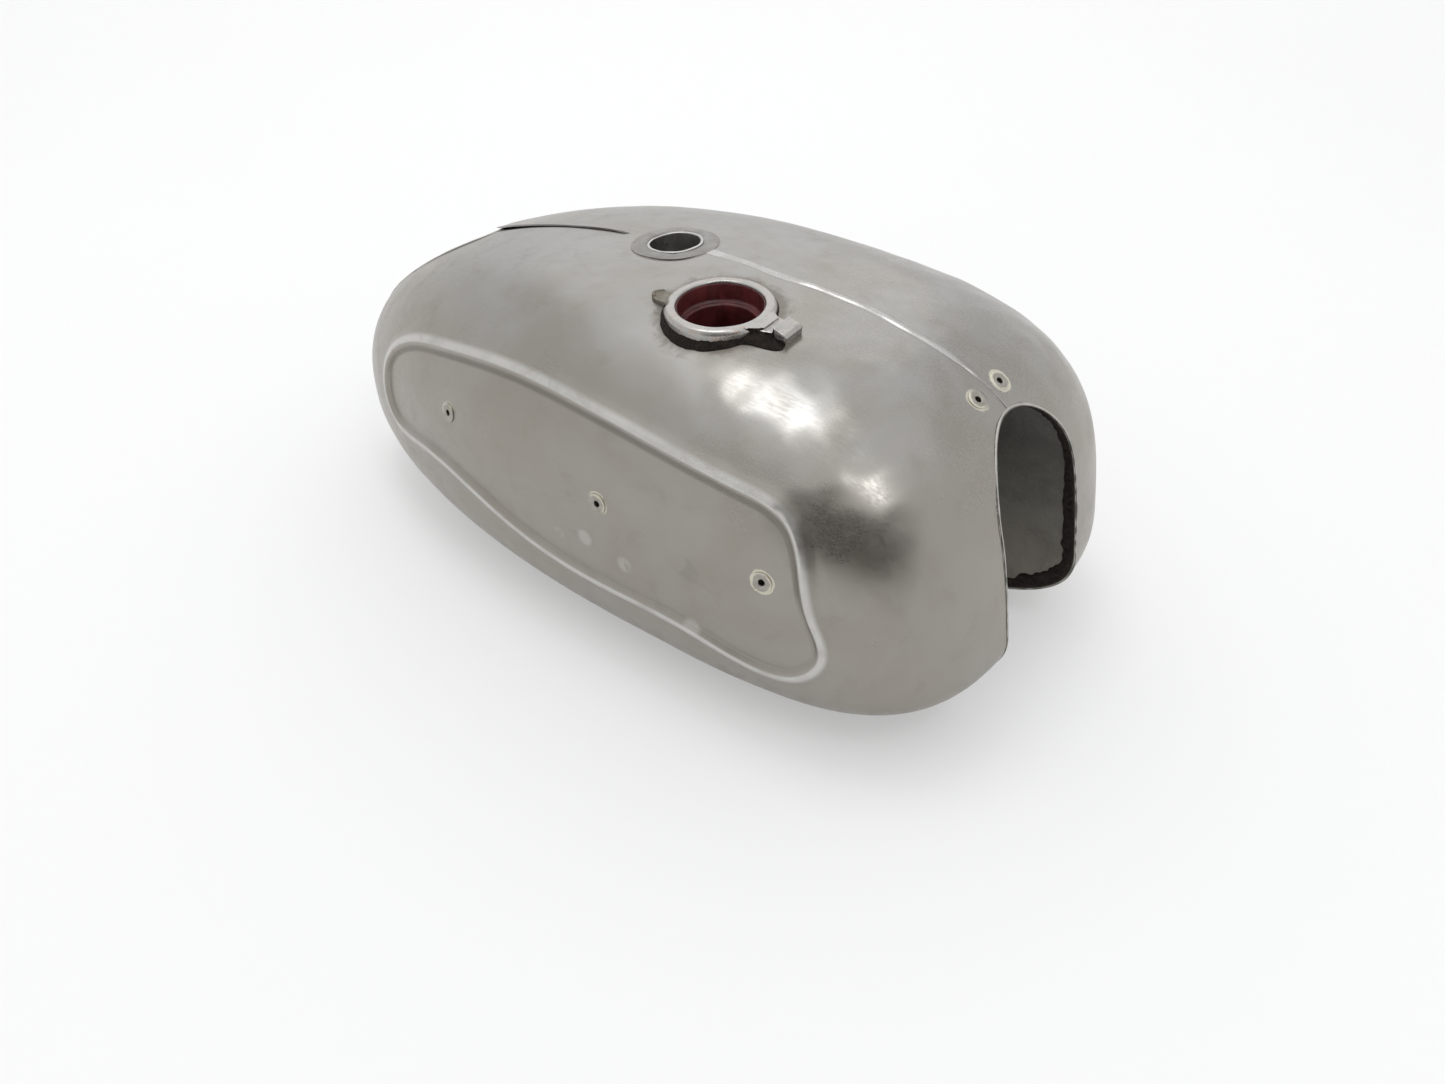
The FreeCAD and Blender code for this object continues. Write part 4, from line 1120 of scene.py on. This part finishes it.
def hinge_lug(steel, braze_as_shade):
    """Arm that grows out of the ring and a block at its end that the cap hinges on; the arm's right side
    and underside take the dark braze as painted shade.
    """
    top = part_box("filler_hinge_lug")[1].z
    arm_end = FILLER.x + HINGE_REACH
    far_end = arm_end + HINGE_BLOCK
    left, right = FILLER.y + HINGE_WIDTH / 2, FILLER.y - HINGE_WIDTH / 2
    arm = prism("arm", [
        (FILLER.x + 0.0300, FILLER.y - 0.0125), (arm_end + 0.001, right + 0.0008),
        (arm_end + 0.001, left - 0.0008), (FILLER.x + 0.0305, FILLER.y + 0.0100)], 2,
        top - 0.0095, top - 0.0036)
    shoulder = prism("shoulder", [
        (FILLER.x + 0.0275, FILLER.y - 0.0155), (FILLER.x + 0.0375, FILLER.y - 0.0080),
        (FILLER.x + 0.0375, FILLER.y + 0.0060), (FILLER.x + 0.0305, FILLER.y + 0.0110)], 2,
        top - 0.0090, top - 0.0020)
    end = side_prism([
        (arm_end - 0.0004, top - 0.0100), (far_end - 0.0008, top - 0.0100),
        (far_end, top - 0.0042), (far_end - 0.0016, top - 0.0024), (arm_end + 0.0002, top - 0.0003)],
        right, left)
    piece = fuse("hinge_arm", [arm, shoulder, end], [steel, braze_as_shade], LUG_VOXEL, 0.00006, 71)
    rows = lathe_points([(HINGE_PIN_R, -HINGE_WIDTH), (HINGE_PIN_R, HINGE_WIDTH)], 24)
    pin = on_axis(rows.reshape(-1, 3),
                  (arm_end - HINGE_PIN_SETBACK, FILLER.y, top - 0.0062), (0, 1, 0))
    carve(piece, [rod("pin", pin), post(FILLER_BORE_R + 0.003, FILLER.x, FILLER.y, 0.19, 0.24)])
    carve(leaned(piece), [body_tool("lug_seat")])
    # Painted shade: the arm's faces towards the right side and underneath take the dark braze finish.
    for face in piece.data.polygons:
        sideways = face.normal.y < -0.62 or face.normal.z < -0.3
        if sideways and face.center.x < arm_end + 0.0012:
            face.material_index = 1
    return stands_for(piece, "filler_hinge_lug")


def catch_lug(steel):
    """Low rounded pad behind the ring with an upturned far edge."""
    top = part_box("filler_catch_lug")[1].z

    def turned(points):
        """Points (distance out, sideways) behind the neck, turned with the pad."""
        cos, sin = math.cos(CATCH_TURN), math.sin(CATCH_TURN)
        return [(FILLER.x - a * cos + b * sin, FILLER.y - a * sin - b * cos) for a, b in points]

    start, half = RING_R - 0.0010, CATCH_WIDTH / 2
    arc = np.linspace(-math.pi / 2, math.pi / 2, 25)
    outline = [(start + CATCH_REACH * math.cos(t), half * math.sin(t)) for t in arc]
    outline += [(start - 0.004, half), (start - 0.004, -half)]
    pad = prism("pad", turned(outline), 2, 0.2120, top - 0.0022)
    edge = [(start + (CATCH_REACH - d) * math.cos(t), (half - d) * math.sin(t))
            for d, run in ((0.0002, np.linspace(-0.9, 0.7, 12)), (0.0018, np.linspace(0.7, -0.9, 12)))
            for t in run]
    lip = prism("lip", turned(edge), 2, 0.2130, top - 0.0010)
    piece = fuse("catch_pad", [pad, lip], [steel], LUG_VOXEL, 0.00006, 72)
    carve(piece, [body_tool("catch_seat")])
    return stands_for(piece, "filler_catch_lug")


# ---------------------------------------------------------------- tunnel mouths

def channel_line(offset):
    """Cross-section of the tunnel from the left foot over the arch to the right foot."""
    half = TUNNEL_HALF_WIDTH + offset
    spring = TUNNEL_ROOF_Z - TUNNEL_HALF_WIDTH
    heights = np.linspace(0.0, spring, 90, endpoint=False)
    arc = np.linspace(0.0, math.pi, 91)
    wall = np.stack([np.full(90, half), heights], 1)
    over = np.stack([half * np.cos(arc), spring + half * np.sin(arc)], 1)
    down = wall[::-1] * np.array([-1.0, 1.0])
    line = np.concatenate([wall, over, down])
    inward = np.concatenate([np.tile([-1.0, 0.0], (90, 1)),
                             np.stack([-np.cos(arc), -np.sin(arc)], 1),
                             np.tile([1.0, 0.0], (90, 1))])
    return line, inward


def reach_at(y, z, end):
    """How far the body or its rails go towards the front or the rear at places (y, z)."""
    near = np.full(y.shape, 0.10 * end)
    far = np.full(y.shape, 0.30 * end)
    for _ in range(40):
        middle_x = (near + far) / 2
        inside = inside_body(middle_x, y, z)
        near = np.where(inside, middle_x, near)
        far = np.where(inside, far, middle_x)
    corner, foot = (RAIL_FOOT[2], RAIL_FOOT[3]) if end == FRONT else (RAIL_FOOT[1], RAIL_FOOT[0])
    rail = corner[0] + (foot[0] - corner[0]) * z / foot[1]
    rail = np.where(z < foot[1], rail, near)
    return np.where(end * rail > end * near, rail, near)


def mouth_path(end, offset, inset):
    """Places and inward directions along one mouth's edge, evenly spaced, set in from it."""
    line, inward = channel_line(offset)
    steps = travelled(line)
    x = reach_at(line[:, 0], line[:, 1], end)
    foot = np.linspace(0.06 * end, x[0], 40, endpoint=False)
    flat = np.concatenate([np.stack([foot, np.zeros(40)], 1), np.stack([x, steps], 1),
                           np.stack([foot[::-1], np.full(40, steps[-1])], 1)])
    run = travelled(flat)
    even = np.linspace(0.0, run[-1], 700)
    flat = np.stack([np.interp(even, run, flat[:, k]) for k in (0, 1)], 1)
    kernel = np.hanning(17)
    kernel /= kernel.sum()
    smooth = np.stack([np.convolve(np.pad(flat[:, k], 8, mode="edge"), kernel, "valid")
                       for k in (0, 1)], 1)
    along = unit(np.gradient(smooth, axis=0))
    side = np.stack([-along[:, 1], along[:, 0]], 1) * end
    return smooth + side * inset, side, even, (line, inward, steps)


def wrap(flat, lift, surface):
    """Points on the tunnel's wall from (x, distance round the section), lifted inwards."""
    line, inward, steps = surface
    place_on = [np.interp(flat[..., 1], steps, line[:, k]) for k in (0, 1)]
    toward = [np.interp(flat[..., 1], steps, inward[:, k]) for k in (0, 1)]
    return np.stack([flat[..., 0], place_on[0] + toward[0] * lift, place_on[1] + toward[1] * lift], -1)


def mouth_rim(end, word, braze):
    """Ragged run of braze on the tunnel's wall along one mouth."""
    path, side, even, surface = mouth_path(end, 0.0, 0.0015)
    across = np.linspace(0.0, 1.0, 12)
    spots = np.stack([even, even * 0.0, even * 0.0], -1)
    height = np.interp(path[:, 1], surface[2], surface[0][:, 1])
    wide = 0.0046 + 0.0075 * (1.0 - height / TUNNEL_ROOF_Z) ** 1.4
    wide = wide * (1.0 + 0.13 * waves(spots, 0.030, 81) + 0.08 * waves(spots, 0.008, 82))
    flat = path[:, None] + side[:, None] * (wide[:, None] * across)[..., None]
    flat[..., 1] = np.clip(flat[..., 1], 0.0003, surface[2][-1] - 0.0003)
    body = (1.0 - np.abs(2 * across - 1) ** 5) ** 0.7
    rough = waves(np.stack([flat[..., 0], flat[..., 1], flat[..., 1] * 0], -1), 0.005, 83)
    lift = body * (0.0009 + 0.00028 * rough) + 0.00002
    top = wrap(flat, lift, surface)
    foot = wrap(flat, np.full(lift.shape, -0.0005), surface)
    faces = slab_faces(len(even), 12, False)
    rim = new_piece(word + "_mouth_braze", stacked(top, foot), faces, [braze], 60.0)
    return stands_for(rim, word + "_mouth_rim")


def mouth_bead(end, word, steel):
    """Rounded edge of the sheet round one mouth."""
    path, side, even, surface = mouth_path(end, TUNNEL_SHEET / 2, MOUTH_EDGE_R * 0.95)
    centre = wrap(path, 0.0, surface)
    along = unit(np.gradient(centre, axis=0))
    out = unit(wrap(path, 0.001, surface) - centre)
    beside = np.cross(along, out)
    turns = np.linspace(0.0, 2.0 * math.pi, 10, endpoint=False)
    size = MOUTH_EDGE_R * (1.0 + 0.10 * waves(centre, 0.010, 91))
    ring = (out[:, None] * np.cos(turns)[None, :, None] + beside[:, None] * np.sin(turns)[None, :, None])
    points = centre[:, None] + ring * size[:, None, None]
    points[..., 2] = np.maximum(points[..., 2], CAD_LOW[2] + 0.0001)
    count = len(even)
    faces = grid_faces(count, 10, wrap_columns=True)
    faces += [tuple(range(10)), tuple(range((count - 1) * 10, count * 10))]
    piece = new_piece(word + "_mouth_edge", points, faces, [steel])
    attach(piece, "root")
    return piece


# ---------------------------------------------------------------- the tank

def finish_node(node, material):
    """Give a CAD node that stays its finish."""
    piece = frame["nodes"][node]
    piece.data.materials.clear()
    piece.data.materials.append(material)


STEEL = {"right": steel_skin("right"), "left": steel_skin("left")}
BOSSES = {"right": boss_finish("right"), "left": boss_finish("left")}
# Dark dull steel for the base pans and the strip under the open joint: darker than the skin as painted
# shade in these hidden places.
INNER = plain_steel("inner_steel", 0.16, 0.05, 0.50, 0.62, 0.030, 0.0002)
NECK = plain_steel("neck_steel", 0.44, 0.02, 0.26, 0.36, 0.010, 0.00006, (0.36, 0.27, 0.21, 1.0))
WELD = plain_steel("weld_steel", 0.44, 0.02, 0.24, 0.34, 0.012, 0.00006)
COLLAR = plain_steel("collar_steel", 0.25, 0.03, 0.28, 0.38, 0.008, 0.00006)
SLEEVE = plain_steel("sleeve_steel", 0.50, 0.02, 0.28, 0.40, 0.010, 0.00008)
BOSS = plain_steel("boss_steel", 0.36, 0.07, 0.40, 0.52, 0.003, 0.00005)
PAD = plain_steel("pad_steel", 0.20, 0.08, 0.40, 0.50, 0.004, 0.00008)
EDGE = plain_steel("edge_steel", 0.50, 0.03, 0.28, 0.40, 0.008, 0.00008)
BRAZE = braze_finish("braze")
SEALER = sealer_finish("sealer")
CHANNEL = channel_finish("channel_steel")

GRID = half_grid()
for SIDE, WORD in ((RIGHT, "right"), (LEFT, "left")):
    half_shell(SIDE, WORD, GRID, STEEL[WORD], SEALER)
    for PLACE, (CENTRE, AXIS) in zip(("rear", "middle", "front"), boss_seats(WORD)):
        stands_for(boss(f"{WORD}_badge_boss_{PLACE}_steel", CENTRE, AXIS, [BOSSES[WORD]]),
                   f"{WORD}_badge_boss_{PLACE}")
    CENTRE, AXIS = boss_seats(WORD)[3]
    stands_for(boss(WORD + "_nose_boss_steel", CENTRE, AXIS, [BOSSES[WORD]]),
               WORD + "_nose_boss")
    finish_node(WORD + "_base_pan", INNER)
    finish_node(WORD + "_tap_boss", BOSS)
centre_sleeve(SLEEVE)
centre_collar(COLLAR)
seam_ridge(WELD)
filler_ring(NECK)
filler_cup(SEALER)
filler_braze(BRAZE)
hinge_lug(NECK, BRAZE)
catch_lug(PAD)
for END, WORD in ((FRONT, "front"), (REAR, "rear")):
    mouth_rim(END, WORD, BRAZE)
    mouth_bead(END, WORD, EDGE)
finish_node("tunnel_channel", CHANNEL)
finish_node("sleeve_ring", BRAZE)
finish_node("joint_strip", INNER)


# ---------------------------------------------------------------- camera, stage and light

FLOOR_LEVEL = 0.56
FLOOR_GLOW = 0.33
WORLD_LEVEL = 1.10
OVERHEAD_LEVEL = 4.2
BACK_LEVEL = 0.42
FRONT_LEVEL = 8.0
CARD_LEVEL = 0.19
FLAT_R = 1.4
CURVE_R = 0.9
LENS_MM = 28.547
FILM_MM = 36.0
CAMERA_PLACE = (0.4455, -0.5384, 0.5271)
CAMERA_TILT_DEG = 51.737
CAMERA_TURN_DEG = 37.622


def stage_finish(name, level):
    """Pale matt surface with a hardly visible unevenness, which glows a little of itself."""
    f = Finish(name)
    clouds = f.noise(0.35, 3.0, 0.5)
    base = f.blend(clouds, grey(level * 0.985, 0.004), grey(level, -0.002))
    return f.done(base=base, rough=0.95, specular=0.0, glow=grey(1.0), glow_level=FLOOR_GLOW)


def bowl():
    """Seamless round floor that curves up into a wall."""
    profile = [(0.0001, 0.0), (0.5, 0.0), (1.0, 0.0), (FLAT_R, 0.0)]
    profile += [(FLAT_R + CURVE_R * math.sin(t), CURVE_R - CURVE_R * math.cos(t))
                for t in np.linspace(0.08, math.pi / 2, 18)]
    profile += [(FLAT_R + CURVE_R, 1.6), (FLAT_R + CURVE_R, 2.6)]
    rows = lathe_points(profile, 96)
    faces = grid_faces(96, len(profile), flip=True, wrap_rows=True)
    mesh = bpy.data.meshes.new("bowl")
    mesh.from_pydata(rows.reshape(-1, 3).tolist(), [], faces)
    mesh.materials.append(stage_finish("stage_white", FLOOR_LEVEL))
    mesh.shade_smooth()
    piece = linked("studio_bowl", mesh)
    piece.location.z = -0.0002
    return piece


def lamp(name, place_at, target, size, level, wide=None):
    """Soft area lamp of a radiance, aimed at a place."""
    light = bpy.data.lights.new(name, "AREA")
    light.shape = "RECTANGLE"
    light.size = size
    light.size_y = wide or size
    light.energy = level * math.pi * size * (wide or size)
    piece = linked(name, light)
    piece.location = place_at
    piece.rotation_euler = (Vector(target) - Vector(place_at)).to_track_quat("-Z", "Y").to_euler()
    piece.visible_camera = False
    return piece


def camera():
    """Camera at the photograph's viewing angle."""
    lens = bpy.data.cameras.new("camera")
    lens.lens = LENS_MM
    lens.sensor_width = FILM_MM
    lens.sensor_fit = "HORIZONTAL"
    piece = linked("camera", lens)
    piece.location = CAMERA_PLACE
    piece.rotation_euler = (math.radians(CAMERA_TILT_DEG), 0.0, math.radians(CAMERA_TURN_DEG))
    bpy.context.scene.camera = piece


def world_light():
    """Even pale light from all round."""
    world = bpy.data.worlds.new("studio")
    world.use_nodes = True
    shade = world.node_tree.nodes["Background"]
    shade.inputs["Color"].default_value = (0.98, 0.99, 1.0, 1.0)
    shade.inputs["Strength"].default_value = WORLD_LEVEL
    bpy.context.scene.world = world


def dark_card():
    """Dull screen beyond the camera that only the steel's gloss sees."""
    f = Finish("card_grey")
    material = f.done(base=grey(CARD_LEVEL, 0.02), rough=0.9, specular=0.0)
    points = [(-1.5, 0.0, 0.05), (1.5, 0.0, 0.05), (1.5, 0.0, 2.1), (-1.5, 0.0, 2.1)]
    mesh = bpy.data.meshes.new("card")
    mesh.from_pydata(points, [], [(0, 1, 2, 3)])
    mesh.materials.append(material)
    piece = linked("studio_card", mesh)
    piece.location = (1.15, -1.40, 0.0)
    piece.rotation_euler = (0.0, 0.0, math.radians(39.4))
    for ray in ("camera", "diffuse", "shadow", "transmission"):
        setattr(piece, "visible_" + ray, False)
    return piece


STAGE = bowl()
STAGE.visible_shadow = False
dark_card()
lamp("overhead", (-0.42, 0.0, 2.3), (0.0, 0.0, 0.0), 0.75, OVERHEAD_LEVEL)
lamp("front", (1.13, -0.54, 1.86), (0.2, -0.1, 0.15), 0.30, FRONT_LEVEL)
lamp("back", (-1.10, 1.43, 1.35), (0.0, 0.0, 0.1), 2.2, BACK_LEVEL, 1.6)
camera()
world_light()
bpy.context.scene.view_settings.view_transform = "Standard"
